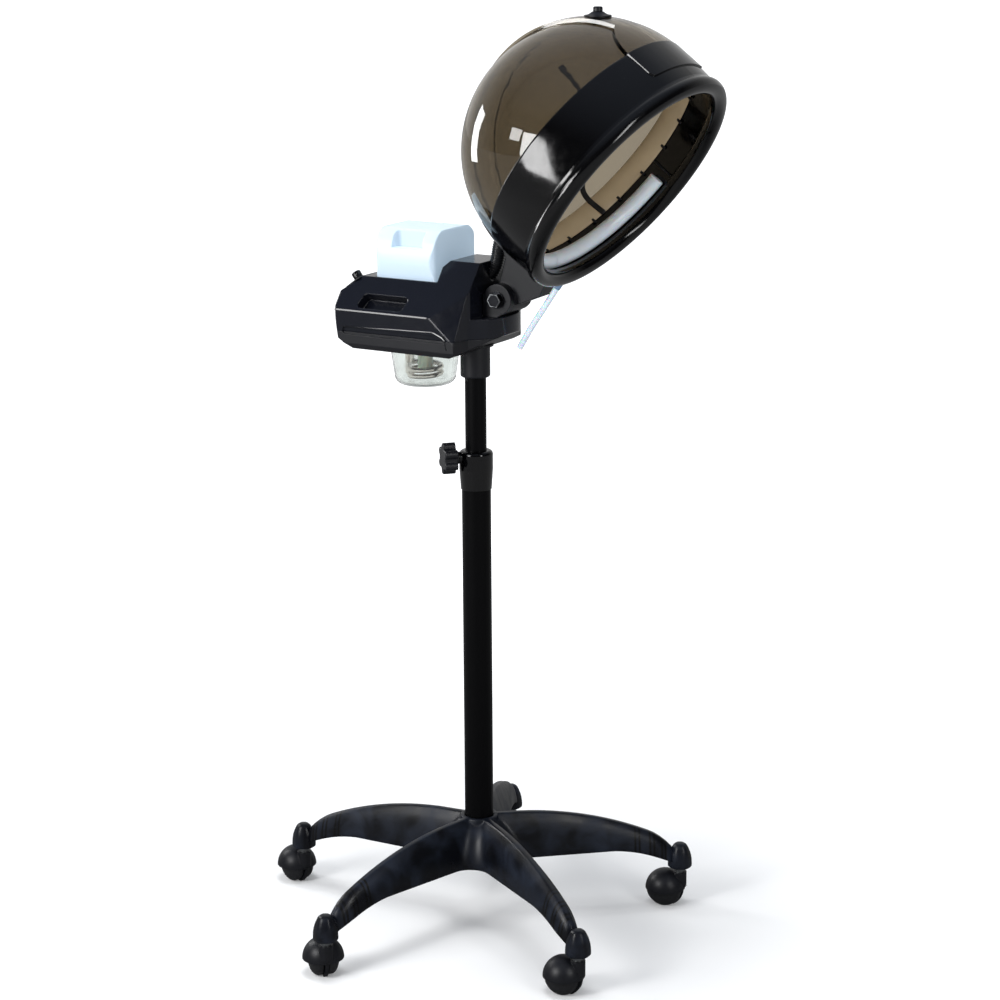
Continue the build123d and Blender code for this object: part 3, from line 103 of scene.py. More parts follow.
def surface(name, **values):
    """A new material with one Principled shader, and that shader's values."""
    material = bpy.data.materials.new(name)
    material.use_nodes = True
    tree = material.node_tree
    shader = tree.nodes["Principled BSDF"]
    for socket, value in values.items():
        shader.inputs[socket.replace("_", " ")].default_value = value
    return material, tree, shader


print("mid grey in linear light:", [round(c, 3) for c in paint("#808080")])

# %% [markdown]
# ## Satin moulded ABS
# The star base, the caster hoods and the lower casing are moulded in black ABS with a spark-eroded texture.
# The texture is a fine, soft grain of about 0.4 mm that breaks up reflections, so the plastic looks grey-blue
# where light grazes it and deep black elsewhere. A noise drives the bump and moves the roughness a little.
# A Bevel node rounds the reflections at edges, as a mould's small radii do.

# %% Satin black ABS
satin_abs, tree, shader = surface("satin_black_moulded_abs", Base_Color=paint("#101116"), Roughness=0.42, IOR=1.5,
                                  Specular_IOR_Level=0.35)
place = add(tree, "ShaderNodeTexCoord")
grain = add(tree, "ShaderNodeTexNoise", {"Scale": 1 / 0.0008, "Detail": 3.0}, {"Vector": place.outputs["Object"]})
wear = add(tree, "ShaderNodeTexNoise", {"Scale": 1 / 0.045, "Detail": 4.0}, {"Vector": place.outputs["Object"]})
sheen = add(tree, "ShaderNodeMapRange", {"To Min": 0.34, "To Max": 0.5}, {"Value": wear.outputs["Fac"]})
edge = add(tree, "ShaderNodeBevel", {"Radius": 0.0016}, samples=6)
bump = add(tree, "ShaderNodeBump", {"Strength": 0.12, "Distance": 0.0003},
           {"Height": grain.outputs["Fac"], "Normal": edge.outputs["Normal"]})
tree.links.new(sheen.outputs["Result"], shader.inputs["Roughness"])
tree.links.new(bump.outputs["Normal"], shader.inputs["Normal"])
print("grain of", round(1000 / grain.inputs["Scale"].default_value, 2), "mm")

# %% [markdown]
# ## The star base's own plastic
# Near its tip each arm has three pairs of shallow grooves across its top. They are part of the moulding, so they
# go into the surface of the same plastic: the distance from the mast tells the shader where a groove is, the bump
# presses it in, and its bottom is painted near black as painted shade. The mould also left faint flow marks along
# the arms, which change the roughness; the same pattern paints a mottled blue-grey sheen into the colour.

# %% Star base plastic with grooves across the arms
star_abs, tree, shader = surface("satin_black_abs_with_grooves", Base_Color=paint("#171c27"), Roughness=0.4, IOR=1.5,
                                 Specular_IOR_Level=0.3)
place = add(tree, "ShaderNodeTexCoord")
split = add(tree, "ShaderNodeSeparateXYZ", links={"Vector": place.outputs["Object"]})
flat = add(tree, "ShaderNodeCombineXYZ", links={"X": split.outputs["X"], "Y": split.outputs["Y"]})
reach = add(tree, "ShaderNodeVectorMath", links={0: flat.outputs["Vector"]}, operation="LENGTH")
groove_reaches = (0.2145, 0.2205, 0.2355, 0.2415, 0.2525, 0.2575)
groove_half_width = 0.0014
pressed = None
for groove in groove_reaches:
    near = add(tree, "ShaderNodeMath", {1: groove, 2: groove_half_width}, {0: reach.outputs["Value"]},
               operation="COMPARE")
    if pressed is None:
        pressed = near.outputs["Value"]
    else:
        pressed = add(tree, "ShaderNodeMath", links={0: pressed, 1: near.outputs["Value"]},
                      operation="MAXIMUM").outputs["Value"]
high = add(tree, "ShaderNodeMath", {1: 0.066}, {0: split.outputs["Z"]}, operation="GREATER_THAN")
pressed = add(tree, "ShaderNodeMath", links={0: pressed, 1: high.outputs["Value"]}, operation="MULTIPLY")
raised = add(tree, "ShaderNodeMath", {0: 1.0}, {1: pressed.outputs["Value"]}, operation="SUBTRACT")
grain = add(tree, "ShaderNodeTexNoise", {"Scale": 1 / 0.0008, "Detail": 3.0}, {"Vector": place.outputs["Object"]})
flow_marks_and_sheen = add(tree, "ShaderNodeTexNoise", {"Scale": 1 / 0.04, "Detail": 4.0, "Distortion": 0.6},
           {"Vector": place.outputs["Object"]})
sheen = add(tree, "ShaderNodeMapRange", {"From Min": 0.3, "From Max": 0.7, "To Min": 0.26, "To Max": 0.5},
            {"Value": flow_marks_and_sheen.outputs["Fac"]})
# Painted sheen: the flow pattern mixes deep black with blue-grey, a mottled sheen painted into the colour.
painted_sheen_mottle = add(tree, "ShaderNodeMapRange", {"From Min": 0.4, "From Max": 0.68}, {"Value": flow_marks_and_sheen.outputs["Fac"]})
shade = add(tree, "ShaderNodeMixRGB", {"Color1": paint("#08090e"), "Color2": paint("#181e2a")},
            {"Fac": painted_sheen_mottle.outputs["Result"]})
# Painted shade: the bottoms of the grooves are painted near black.
shade = add(tree, "ShaderNodeMixRGB", {"Color2": paint("#020203")},
            {"Fac": pressed.outputs["Value"], "Color1": shade.outputs["Color"]})
tree.links.new(shade.outputs["Color"], shader.inputs["Base Color"])
edge = add(tree, "ShaderNodeBevel", {"Radius": 0.0022}, samples=6)
fine = add(tree, "ShaderNodeBump", {"Strength": 0.15, "Distance": 0.0003},
           {"Height": grain.outputs["Fac"], "Normal": edge.outputs["Normal"]})
bump = add(tree, "ShaderNodeBump", {"Strength": 1.0, "Distance": 0.0012},
           {"Height": raised.outputs["Value"], "Normal": fine.outputs["Normal"]})
tree.links.new(sheen.outputs["Result"], shader.inputs["Roughness"])
tree.links.new(bump.outputs["Normal"], shader.inputs["Normal"])
print(len(groove_reaches), "grooves, the last", round(groove_reaches[-1] * 1000), "mm from the mast")

# %% [markdown]
# ## Gloss ABS
# The rim of the hood, the upper casing and the mast's collar come from a polished mould. The plastic is almost a
# black mirror, but it is soft: it carries hairline scratches from wiping and a slow waviness from shrinking, and
# both bend the reflections a little.

# %% Gloss black ABS
gloss_abs, tree, shader = surface("gloss_black_polished_abs", Base_Color=paint("#040405"), Roughness=0.09, IOR=1.5,
                                 Specular_IOR_Level=0.4)
place = add(tree, "ShaderNodeTexCoord")
swell = add(tree, "ShaderNodeTexNoise", {"Scale": 1 / 0.05, "Detail": 1.0}, {"Vector": place.outputs["Object"]})
scuff = add(tree, "ShaderNodeTexNoise", {"Scale": 1 / 0.012, "Detail": 6.0, "Roughness": 0.7},
            {"Vector": place.outputs["Object"]})
sheen = add(tree, "ShaderNodeMapRange", {"From Min": 0.35, "From Max": 0.75, "To Min": 0.07, "To Max": 0.2},
            {"Value": scuff.outputs["Fac"]})
edge = add(tree, "ShaderNodeBevel", {"Radius": 0.0014}, samples=6)
bump = add(tree, "ShaderNodeBump", {"Strength": 0.25, "Distance": 0.0006},
           {"Height": swell.outputs["Fac"], "Normal": edge.outputs["Normal"]})
tree.links.new(sheen.outputs["Result"], shader.inputs["Roughness"])
tree.links.new(bump.outputs["Normal"], shader.inputs["Normal"])
print("gloss ABS, waviness every", round(1000 / swell.inputs["Scale"].default_value), "mm")

# %% [markdown]
# ## Enamelled tube
# The mast is steel tube, stoved with a semi-matte black enamel. Sprayed enamel has a soft orange peel of about
# 3 mm, which gives a long, slightly broken highlight down the tube.

# %% Black enamel
enamel, tree, shader = surface("black_stove_enamel_on_steel", Base_Color=paint("#040405"), Roughness=0.36, IOR=1.52,
                               Specular_IOR_Level=0.09)
place = add(tree, "ShaderNodeTexCoord")
peel = add(tree, "ShaderNodeTexNoise", {"Scale": 1 / 0.003, "Detail": 2.0}, {"Vector": place.outputs["Object"]})
dust = add(tree, "ShaderNodeTexNoise", {"Scale": 1 / 0.03, "Detail": 6.0}, {"Vector": place.outputs["Object"]})
sheen = add(tree, "ShaderNodeMapRange", {"To Min": 0.28, "To Max": 0.46}, {"Value": dust.outputs["Fac"]})
bump = add(tree, "ShaderNodeBump", {"Strength": 0.18, "Distance": 0.0004}, {"Height": peel.outputs["Fac"]})
tree.links.new(sheen.outputs["Result"], shader.inputs["Roughness"])
tree.links.new(bump.outputs["Normal"], shader.inputs["Normal"])
print("orange peel of", round(1000 / peel.inputs["Scale"].default_value), "mm")

# %% [markdown]
# ## Smoked acrylic
# The dome is blown from acrylic sheet dyed brown-grey. The dye swallows about three quarters of the light at each
# wall, so the far wall seen through the near one is almost black, while the inside seen through the opening is
# tan. The surface keeps the gloss of the sheet.

# %% Smoked acrylic
smoked_acrylic, tree, shader = surface("smoke_dyed_blown_acrylic", Base_Color=paint("#8b8273"), Roughness=0.03,
                                       IOR=1.49, Transmission_Weight=1.0)
place = add(tree, "ShaderNodeTexCoord")
swell = add(tree, "ShaderNodeTexNoise", {"Scale": 1 / 0.09, "Detail": 1.0}, {"Vector": place.outputs["Object"]})
shade = add(tree, "ShaderNodeMixRGB", {"Color1": paint("#887f70"), "Color2": paint("#918775")},
            {"Fac": swell.outputs["Fac"]})
bump = add(tree, "ShaderNodeBump", {"Strength": 0.1, "Distance": 0.0008}, {"Height": swell.outputs["Fac"]})
tree.links.new(shade.outputs["Color"], shader.inputs["Base Color"])
tree.links.new(bump.outputs["Normal"], shader.inputs["Normal"])
print("smoked acrylic passes", [round(c, 2) for c in paint("#8b8273")[:3]], "of the light at each wall")

# %% [markdown]
# ## The water tank's polyethylene
# The tank is blow-moulded from natural polyethylene, a milky, waxy plastic a couple of millimetres thick. Light
# goes in and spreads, so its shadows are pale and bluish. Subsurface scattering over a few millimetres gives
# that, and a broad bump gives the slightly uneven blown wall. A weak glow stands for the daylight that comes
# through the tank from behind.

# %% Milky polyethylene
milky_pe, tree, shader = surface("milky_blow_moulded_polyethylene", Base_Color=paint("#b0bfcc"), Roughness=0.32,
                                 IOR=1.51, Subsurface_Weight=0.7, Subsurface_Scale=0.012, Emission_Strength=0.3)
shader.inputs["Subsurface Radius"].default_value = (0.9, 1.0, 1.0)
shader.inputs["Emission Color"].default_value = paint("#d8eaf8")
place = add(tree, "ShaderNodeTexCoord")
blown = add(tree, "ShaderNodeTexNoise", {"Scale": 1 / 0.025, "Detail": 2.0}, {"Vector": place.outputs["Object"]})
edge = add(tree, "ShaderNodeBevel", {"Radius": 0.003}, samples=6)
bump = add(tree, "ShaderNodeBump", {"Strength": 0.25, "Distance": 0.001},
           {"Height": blown.outputs["Fac"], "Normal": edge.outputs["Normal"]})
tree.links.new(bump.outputs["Normal"], shader.inputs["Normal"])
print("polyethylene scatters over", shader.inputs["Subsurface Scale"].default_value * 1000, "mm")

# %% [markdown]
# ## Clear polycarbonate
# The boiler cup is injection-moulded from clear polycarbonate, so that the user sees the water level. Clear
# plastic is all reflection and refraction: faint flow lines from the mould and a little lime on the inside keep
# it from looking like nothing at all.

# %% Clear cup
clear_pc, tree, shader = surface("clear_moulded_polycarbonate", Base_Color=paint("#f1f5f3"), Roughness=0.04,
                                 IOR=1.58, Transmission_Weight=1.0)
place = add(tree, "ShaderNodeTexCoord")
ring = add(tree, "ShaderNodeTexNoise", {"Scale": 1 / 0.02, "Detail": 3.0}, {"Vector": place.outputs["Object"]})
lime = add(tree, "ShaderNodeMapRange", {"From Min": 0.4, "From Max": 0.8, "To Min": 0.03, "To Max": 0.25},
           {"Value": ring.outputs["Fac"]})
bump = add(tree, "ShaderNodeBump", {"Strength": 0.2, "Distance": 0.0006}, {"Height": ring.outputs["Fac"]})
tree.links.new(lime.outputs["Result"], shader.inputs["Roughness"])
tree.links.new(bump.outputs["Normal"], shader.inputs["Normal"])
print("polycarbonate bends light by", round(shader.inputs["IOR"].default_value, 2))

# %% [markdown]
# ## Bright metals
# The heating coil is stainless tube with a bright chrome plate, slightly browned by heat. Bolts and screws are
# zinc-plated steel: greyer, with a fine crystalline mottling.

# %% Chrome plate and zinc-plated steel
chrome, tree, shader = surface("bright_chrome_plate", Base_Color=paint("#d9d7d2"), Metallic=1.0, Roughness=0.08)
place = add(tree, "ShaderNodeTexCoord")
heat = add(tree, "ShaderNodeTexNoise", {"Scale": 1 / 0.015, "Detail": 3.0}, {"Vector": place.outputs["Object"]})
tint = add(tree, "ShaderNodeMixRGB", {"Color1": paint("#dddcd8"), "Color2": paint("#b9ada0")},
           {"Fac": heat.outputs["Fac"]})
haze = add(tree, "ShaderNodeMapRange", {"To Min": 0.05, "To Max": 0.22}, {"Value": heat.outputs["Fac"]})
tree.links.new(tint.outputs["Color"], shader.inputs["Base Color"])
tree.links.new(haze.outputs["Result"], shader.inputs["Roughness"])

zinc, tree, shader = surface("zinc_plated_steel", Base_Color=paint("#8f9294"), Metallic=1.0, Roughness=0.35)
place = add(tree, "ShaderNodeTexCoord")
spangle = add(tree, "ShaderNodeTexVoronoi", {"Scale": 1 / 0.0015}, {"Vector": place.outputs["Object"]})
mottle = add(tree, "ShaderNodeMapRange", {"To Min": 0.28, "To Max": 0.5}, {"Value": spangle.outputs["Distance"]})
tree.links.new(mottle.outputs["Result"], shader.inputs["Roughness"])

black_oxide, tree, shader = surface("black_oxide_steel", Base_Color=paint("#2b2c2f"), Metallic=1.0, Roughness=0.3)
place = add(tree, "ShaderNodeTexCoord")
stain = add(tree, "ShaderNodeTexNoise", {"Scale": 1 / 0.004, "Detail": 4.0}, {"Vector": place.outputs["Object"]})
dim = add(tree, "ShaderNodeMapRange", {"To Min": 0.22, "To Max": 0.42}, {"Value": stain.outputs["Fac"]})
edge = add(tree, "ShaderNodeBevel", {"Radius": 0.001}, samples=4)
tree.links.new(dim.outputs["Result"], shader.inputs["Roughness"])
tree.links.new(edge.outputs["Normal"], shader.inputs["Normal"])
print("metals:", chrome.name, zinc.name, black_oxide.name)

# %% [markdown]
# ## Small plastics and rubbers
# Nylon wheels are hard and dull, with a scuffed tread. The feed tube is a pale green translucent nylon, the steam
# pipe in the hood a white glass-filled plastic, the drain hose translucent silicone with a blue-grey spout, the
# bellows black silicone and the gasket grey silicone. A tan strip seats the dome in its rim. They share one recipe:
# a base colour mottled over a real size, and a little roughness change.

# %% Mottled plastics
def mottled_plastic(name, light, dark, size, rough, **values):
    """A plastic or rubber whose colour drifts between two paints over a size in metres."""
    material, tree, shader = surface(name, Roughness=rough, **values)
    place = add(tree, "ShaderNodeTexCoord")
    drift = add(tree, "ShaderNodeTexNoise", {"Scale": 1 / size, "Detail": 4.0}, {"Vector": place.outputs["Object"]})
    colour = add(tree, "ShaderNodeMixRGB", {"Color1": paint(light), "Color2": paint(dark)},
                 {"Fac": drift.outputs["Fac"]})
    haze = add(tree, "ShaderNodeMapRange", {"To Min": rough * 0.8, "To Max": min(1.0, rough * 1.3)},
               {"Value": drift.outputs["Fac"]})
    edge = add(tree, "ShaderNodeBevel", {"Radius": 0.0008}, samples=4)
    bump = add(tree, "ShaderNodeBump", {"Strength": 0.15, "Distance": 0.0003},
               {"Height": drift.outputs["Fac"], "Normal": edge.outputs["Normal"]})
    tree.links.new(colour.outputs["Color"], shader.inputs["Base Color"])
    tree.links.new(haze.outputs["Result"], shader.inputs["Roughness"])
    tree.links.new(bump.outputs["Normal"], shader.inputs["Normal"])
    return material


wheel_nylon = mottled_plastic("scuffed_black_nylon", "#1a1b1e", "#0d0d0f", 0.006, 0.36)
feed_nylon = mottled_plastic("pale_green_nylon_tube", "#d5dfca", "#c0ccb4", 0.01, 0.35, Subsurface_Weight=0.3,
                             Subsurface_Scale=0.004)
pipe_plastic = mottled_plastic("white_steam_pipe_plastic", "#e4e9ee", "#ced6de", 0.02, 0.3, Subsurface_Weight=0.2,
                               Subsurface_Scale=0.004)
silicone_hose = mottled_plastic("translucent_silicone_hose", "#dfe8ee", "#bccfdd", 0.015, 0.28,
                                Subsurface_Weight=0.5, Subsurface_Scale=0.006)
silicone_grey = mottled_plastic("grey_silicone_gasket", "#6c6e70", "#56585a", 0.004, 0.6)
panel_film = mottled_plastic("matte_black_panel_film", "#17181a", "#101113", 0.003, 0.5)
tan_strip = mottled_plastic("tan_translucent_seating_strip", "#c2ae8e", "#b39f80", 0.02, 0.35)
spout_blue = mottled_plastic("blue_grey_spout_plastic", "#6f8aa8", "#4c6482", 0.006, 0.35)
sleeve_silicone = mottled_plastic("black_silicone_bellows", "#17191c", "#0d0e10", 0.006, 0.3)
print("eight mottled plastics and one film")

# %% [markdown]
# ## The casing's plastic
# The boiler's casing is between satin and gloss. Its two halves meet in a shadow line that runs round the sides,
# a moulded step about a millimetre deep. The seam is part of the surface here: its height drives the bump.

# %% Semi-gloss casing with its seam
casing_abs, tree, shader = surface("semi_gloss_black_casing_abs", Base_Color=paint("#0f1118"), Roughness=0.2, IOR=1.5,
                                   Specular_IOR_Level=0.36)
place = add(tree, "ShaderNodeTexCoord")
split = add(tree, "ShaderNodeSeparateXYZ", links={"Vector": place.outputs["Object"]})
seam_height = 0.8172
seam = add(tree, "ShaderNodeMath", {1: seam_height, 2: 0.0008}, {0: split.outputs["Z"]}, operation="COMPARE")
lifted = add(tree, "ShaderNodeMath", {0: 1.0}, {1: seam.outputs["Value"]}, operation="SUBTRACT")
grain = add(tree, "ShaderNodeTexNoise", {"Scale": 1 / 0.0008, "Detail": 3.0}, {"Vector": place.outputs["Object"]})
scuff = add(tree, "ShaderNodeTexNoise", {"Scale": 1 / 0.02, "Detail": 6.0, "Roughness": 0.65},
            {"Vector": place.outputs["Object"]})
sheen = add(tree, "ShaderNodeMapRange", {"From Min": 0.3, "From Max": 0.75, "To Min": 0.12, "To Max": 0.24},
            {"Value": scuff.outputs["Fac"]})
edge = add(tree, "ShaderNodeBevel", {"Radius": 0.0026}, samples=6)
fine = add(tree, "ShaderNodeBump", {"Strength": 0.06, "Distance": 0.0003},
           {"Height": grain.outputs["Fac"], "Normal": edge.outputs["Normal"]})
bump = add(tree, "ShaderNodeBump", {"Strength": 1.0, "Distance": 0.0012},
           {"Height": lifted.outputs["Value"], "Normal": fine.outputs["Normal"]})
tree.links.new(sheen.outputs["Result"], shader.inputs["Roughness"])
tree.links.new(bump.outputs["Normal"], shader.inputs["Normal"])
print("seam at", round(seam_height * 1000), "mm above the floor")

# %% Polished edges of the casing
# Hands and cloths polish the casing's edges, so their plastic is smoother than the rest.
polished_edge, tree, shader = surface("polished_casing_edge", Base_Color=paint("#0b0c10"), Roughness=0.14, IOR=1.5)
place = add(tree, "ShaderNodeTexCoord")
rub = add(tree, "ShaderNodeTexNoise", {"Scale": 1 / 0.008, "Detail": 4.0}, {"Vector": place.outputs["Object"]})
sheen = add(tree, "ShaderNodeMapRange", {"To Min": 0.1, "To Max": 0.2}, {"Value": rub.outputs["Fac"]})
tree.links.new(sheen.outputs["Result"], shader.inputs["Roughness"])
print("edges of", polished_edge.name)

# %% [markdown]
# ## Give every CAD node its finish
# The CAD nodes stay where they are. Only the material in their slots changes, node by node, so that nothing is
# left in the flat colour that the CAD gave it.

# %% Finish by node
finishes = {
    star_abs: ["star_base"],
    satin_abs: ["guide_bush", "slide_guide", "mast_socket", "lower_housing", "tilt_bracket", "hood_arm", "cup_ring",
                "clamp_knob", "steam_chamber", "vent_seat", "vent_knob", "timer_unit", "power_inlet"]
               + [f"caster_hood_{k}" for k in range(1, 6)],
    casing_abs: ["upper_housing"],
    gloss_abs: ["height_collar", "rim_ring", "timer_knob", "power_switch"],
    enamel: ["lower_tube", "upper_tube"],
    black_oxide: ["pivot_bolt", "pivot_nut"],
    zinc: ["hub_bolt", "clamp_screw", "housing_screws", "heater_flange", "tank_valve", "steam_nozzle"]
          + [f"caster_pins_{k}" for k in range(1, 6)],
    chrome: ["heater_coil"],
    wheel_nylon: [f"caster_wheel_{side}_{k}" for k in range(1, 6) for side in ("left", "right")],
    smoked_acrylic: ["dome_shell"],
    milky_pe: ["water_tank", "tank_cap"],
    clear_pc: ["boiler_cup"],
    feed_nylon: ["feed_tube"],
    pipe_plastic: ["steam_tube"],
    silicone_hose: ["drain_hose"],
    silicone_grey: ["cup_gasket"],
    panel_film: ["control_panel"],
    spout_blue: ["drain_spout"],
}
for finish, names in finishes.items():
    for name in names:
        slots = parts[name].data.materials
        slots.clear()
        slots.append(finish)
dressed = sum(len(names) for names in finishes.values())
print(dressed, "of", len(parts), "nodes finished")

# %% [markdown]
# ## The drain hose
# Steam condenses in the hood, and the water runs to the lowest point of the rim and out through a soft silicone
# hose. It is short and stiff enough to hang almost straight from its spout. A NURBS curve with the CAD route's
# points as its control points gives the smooth line of a real hose.

# %% Hose on the CAD route
hood_centre = Vector((0.172, 0, 1.060))
slope_up = Vector((0.6, 0, 0.8))
facing = Vector((0.8, 0, -0.6))


def hood_place(slope, forward, across=0.0):
    """A point of the hood from its distances up the slope, out of the opening and sideways, in millimetres."""
    return hood_centre + (slope_up * slope + facing * forward + Vector((0, across, 0))) / 1000


def curve_piece(name, points, radius, finish, order=3):
    """A round tube along a NURBS curve with these control points."""
    data = bpy.data.curves.new(name, "CURVE")
    data.dimensions = "3D"
    data.bevel_depth = radius
    data.bevel_resolution = 6
    data.resolution_u = 16
    data.use_fill_caps = True
    line = data.splines.new("NURBS")
    line.points.add(len(points) - 1)
    for knot, point in zip(line.points, points):
        knot.co = (*point, 1)
    line.order_u = order
    line.use_endpoint_u = True
    data.materials.append(finish)
    piece = bpy.data.objects.new(name, data)
    bpy.context.scene.collection.objects.link(piece)
    return piece


hose_route = [hood_place(-171.8, 66), hood_place(-206, 67.5), hood_place(-238, 68.2), hood_place(-270, 71.5)]
hose = curve_piece("drain_hose_soft", hose_route, 0.004, silicone_hose)
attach(hose, "hood")
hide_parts("drain_hose")
print("hose points:", [[round(c, 3) for c in p] for p in hose_route])

# %% [markdown]
# ## Skins over rings
# Most small moulded pieces are a row of cross-sections: a rib, a plug or a corrugated sleeve. Two functions build
# them: skin joins rings of points that follow one another, closes both ends and can take several bodies into one
# piece, and loop_skin joins the last ring to the first. Two more give the points of a ring: a circle and a rounded
# box.

# %% Functions for rings
def finished_mesh(name, points, faces, finish):
    """A smooth mesh object in one material."""
    mesh = bpy.data.meshes.new(name)
    mesh.from_pydata(points, [], faces)
    shape = bmesh.new()
    shape.from_mesh(mesh)
    bmesh.ops.recalc_face_normals(shape, faces=shape.faces)
    shape.to_mesh(mesh)
    shape.free()
    mesh.shade_smooth()
    mesh.materials.append(finish)
    piece = bpy.data.objects.new(name, mesh)
    bpy.context.scene.collection.objects.link(piece)
    return piece


def skin(name, bodies, finish):
    """Closed skins over bodies. Each body is a list of rings, and all its rings have as many points."""
    points = []
    faces = []
    for rings in bodies:
        first = len(points)
        count = len(rings[0])
        for ring in rings:
            points.extend(ring)
        for row in range(len(rings) - 1):
            for k in range(count):
                here = first + row * count + k
                beside = first + row * count + (k + 1) % count
                faces.append((here, beside, beside + count, here + count))
        faces.append(tuple(range(first + count - 1, first - 1, -1)))
        faces.append(tuple(range(len(points) - count, len(points))))
    return finished_mesh(name, points, faces, finish)


def loop_skin(name, rings, finish):
    """A skin whose last ring joins its first, as round a hoop's section."""
    count = len(rings[0])
    points = [point for ring in rings for point in ring]
    faces = []
    for row in range(len(rings)):
        for k in range(count):
            here = row * count + k
            beside = row * count + (k + 1) % count
            after = count if row < len(rings) - 1 else -row * count
            faces.append((here, beside, beside + after, here + after))
    return finished_mesh(name, points, faces, finish)


def round_ring(middle, right, up, radius, count=32):
    """A circle of points round middle, in the plane of the unit vectors right and up."""
    turns = [2 * pi * k / count for k in range(count)]
    return [middle + (right * cos(turn) + up * sin(turn)) * radius for turn in turns]


def box_ring(middle, right, up, width, height, count=16, squareness=0.35):
    """A rounded rectangle of points, as a superellipse."""
    ring = []
    for k in range(count):
        turn = 2 * pi * (k + 0.5) / count
        x = abs(cos(turn)) ** squareness * (1 if cos(turn) > 0 else -1)
        y = abs(sin(turn)) ** squareness * (1 if sin(turn) > 0 else -1)
        ring.append(middle + right * (x * width / 2) + up * (y * height / 2))
    return ring


print("rings have", len(round_ring(Vector(), Vector((1, 0, 0)), Vector((0, 1, 0)), 1)), "points")

# %% [markdown]
# ## The star base
# The arms of the real base are not square beams. Each has a narrow crown, sides that swell outwards on the way down,
# and an open underside, and neighbouring arms run into each other in a funnel. We draw the outline of the whole star
# at one level, with its arms and the curves between them, and repeat it wider and lower, then narrower again for the
# hollow underneath. A skin over those outlines is the whole star in one piece. Acorn-shaped sockets for the casters
# and a boss for the mast are turned pieces.

# %% Profile of an arm
star_turn = radians(3.9)
arm_length = 0.268


def arc_height(reach, first, middle, last, upper):
    """Height at a reach on the circle through three (reach, height) points."""
    (ax, ay), (bx, by), (cx, cy) = first, middle, last
    d = 2 * (ax * (by - cy) + bx * (cy - ay) + cx * (ay - by))
    x = ((ax * ax + ay * ay) * (by - cy) + (bx * bx + by * by) * (cy - ay) + (cx * cx + cy * cy) * (ay - by)) / d
    y = ((ax * ax + ay * ay) * (cx - bx) + (bx * bx + by * by) * (ax - cx) + (cx * cx + cy * cy) * (bx - ax)) / d
    drop = sqrt((ax - x) ** 2 + (ay - y) ** 2 - (reach - x) ** 2)
    return y + drop if upper else y - drop


def arm_crown(reach):
    """Height of an arm's back at a distance from the mast, in metres."""
    if reach < 0.06:
        return 0.152 - reach / 60
    dip = 0.009 * max(0, (reach - 0.236) / 0.032) ** 2
    return arc_height(reach, (0.06, 0.151), (0.167, 0.135), (0.262, 0.098), True) - dip


def arm_sole(reach):
    """Height of an arm's lower edge."""
    if reach < 0.185:
        return 0.09
    return arc_height(reach, (0.185, 0.09), (0.228, 0.082), (0.262, 0.068), True)


def across_arm(angle, reach, offset, height):
    """A point from the direction of an arm, the distance along it, the offset to its left and the height."""
    return Vector((cos(angle) * reach - sin(angle) * offset, sin(angle) * reach + cos(angle) * offset, height))


print("arm from", round(arm_crown(0.06) * 1000), "to", round(arm_crown(arm_length) * 1000), "mm high")

# %% Outlines of the star
def star_outline(fall, root, tip, fillet, sink=0.0):
    """The star's outline at one level, in metres.

    fall is how far down the arm's side the level is, from 0 at the crown to 1 at the sole. root and tip are half
    widths of an arm, fillet is the radius between arms, and sink lowers the level below the crown."""
    ring = []
    half_gap = pi / 5
    join = (root + fillet) / tan(half_gap)
    reaches = [arm_length + (join - arm_length) * k / 30 for k in range(31)]

    def level(reach):
        crown = arm_crown(reach) - sink
        return crown + (arm_sole(reach) - crown) * fall

    def half_width(reach):
        narrowing = 1 - 0.34 * max(0, (reach - 0.238) / 0.030) ** 2
        return (root + (tip - root) * reach / 0.262) * narrowing

    for k in range(5):
        here = pi + star_turn + 2 * half_gap * k
        beyond = here + 2 * half_gap
        left = [across_arm(here, reach, half_width(reach), level(reach)) for reach in reaches]
        right = [across_arm(beyond, reach, -half_width(reach), level(reach)) for reach in reversed(reaches)]
        pull = fillet * 0.68
        curve = interpolate_bezier(left[-1], left[-1] - across_arm(here, pull, 0, 0),
                                   right[0] - across_arm(beyond, pull, 0, 0), right[0], 12)
        for point in curve[1:-1]:
            point.z = level(point.xy.length)
        ring += left + curve[1:-1] + right
    return ring


star_levels = [
    (0.0, 0.0001, 0.0001, 0.008), (0.0, 0.0036, 0.0034, 0.009), (0.008, 0.0043, 0.0041, 0.0095),
    (0.035, 0.0052, 0.0050, 0.010), (0.12, 0.0088, 0.0078, 0.013), (0.25, 0.0125, 0.0102, 0.016),
    (0.42, 0.0158, 0.0120, 0.019), (0.62, 0.0185, 0.0134, 0.022), (0.84, 0.0203, 0.0142, 0.0245),
    (0.975, 0.0210, 0.0145, 0.025), (1.0, 0.0204, 0.0139, 0.0255), (1.0, 0.0176, 0.0112, 0.028),
    (0.97, 0.0172, 0.0108, 0.028), (0.6, 0.0146, 0.0094, 0.024), (0.3, 0.0090, 0.0066, 0.018),
]
star_rings = [star_outline(*level) for level in star_levels]
star_rings.append(star_outline(0.0, 0.0030, 0.0028, 0.012, 0.005))
star_rings.append(star_outline(0.0, 0.0001, 0.0001, 0.012, 0.005))
print(len(star_rings), "outlines of", len(star_rings[0]), "points")

# %% Boss, sockets and the finished star
def turned(foot, profile, flutes=0, depth=0.0):
    """Rings of a turned piece over foot, from (radius, height) pairs, with shallow flutes round it if wanted."""
    rings = []
    for radius, height in profile:
        ring = []
        for k in range(48):
            turn = 2 * pi * k / 48
            reach = radius * (1 - depth * (0.5 + 0.5 * cos(flutes * turn)))
            ring.append(Vector((foot.x + cos(turn) * reach, foot.y + sin(turn) * reach, height)))
        rings.append(ring)
    return rings


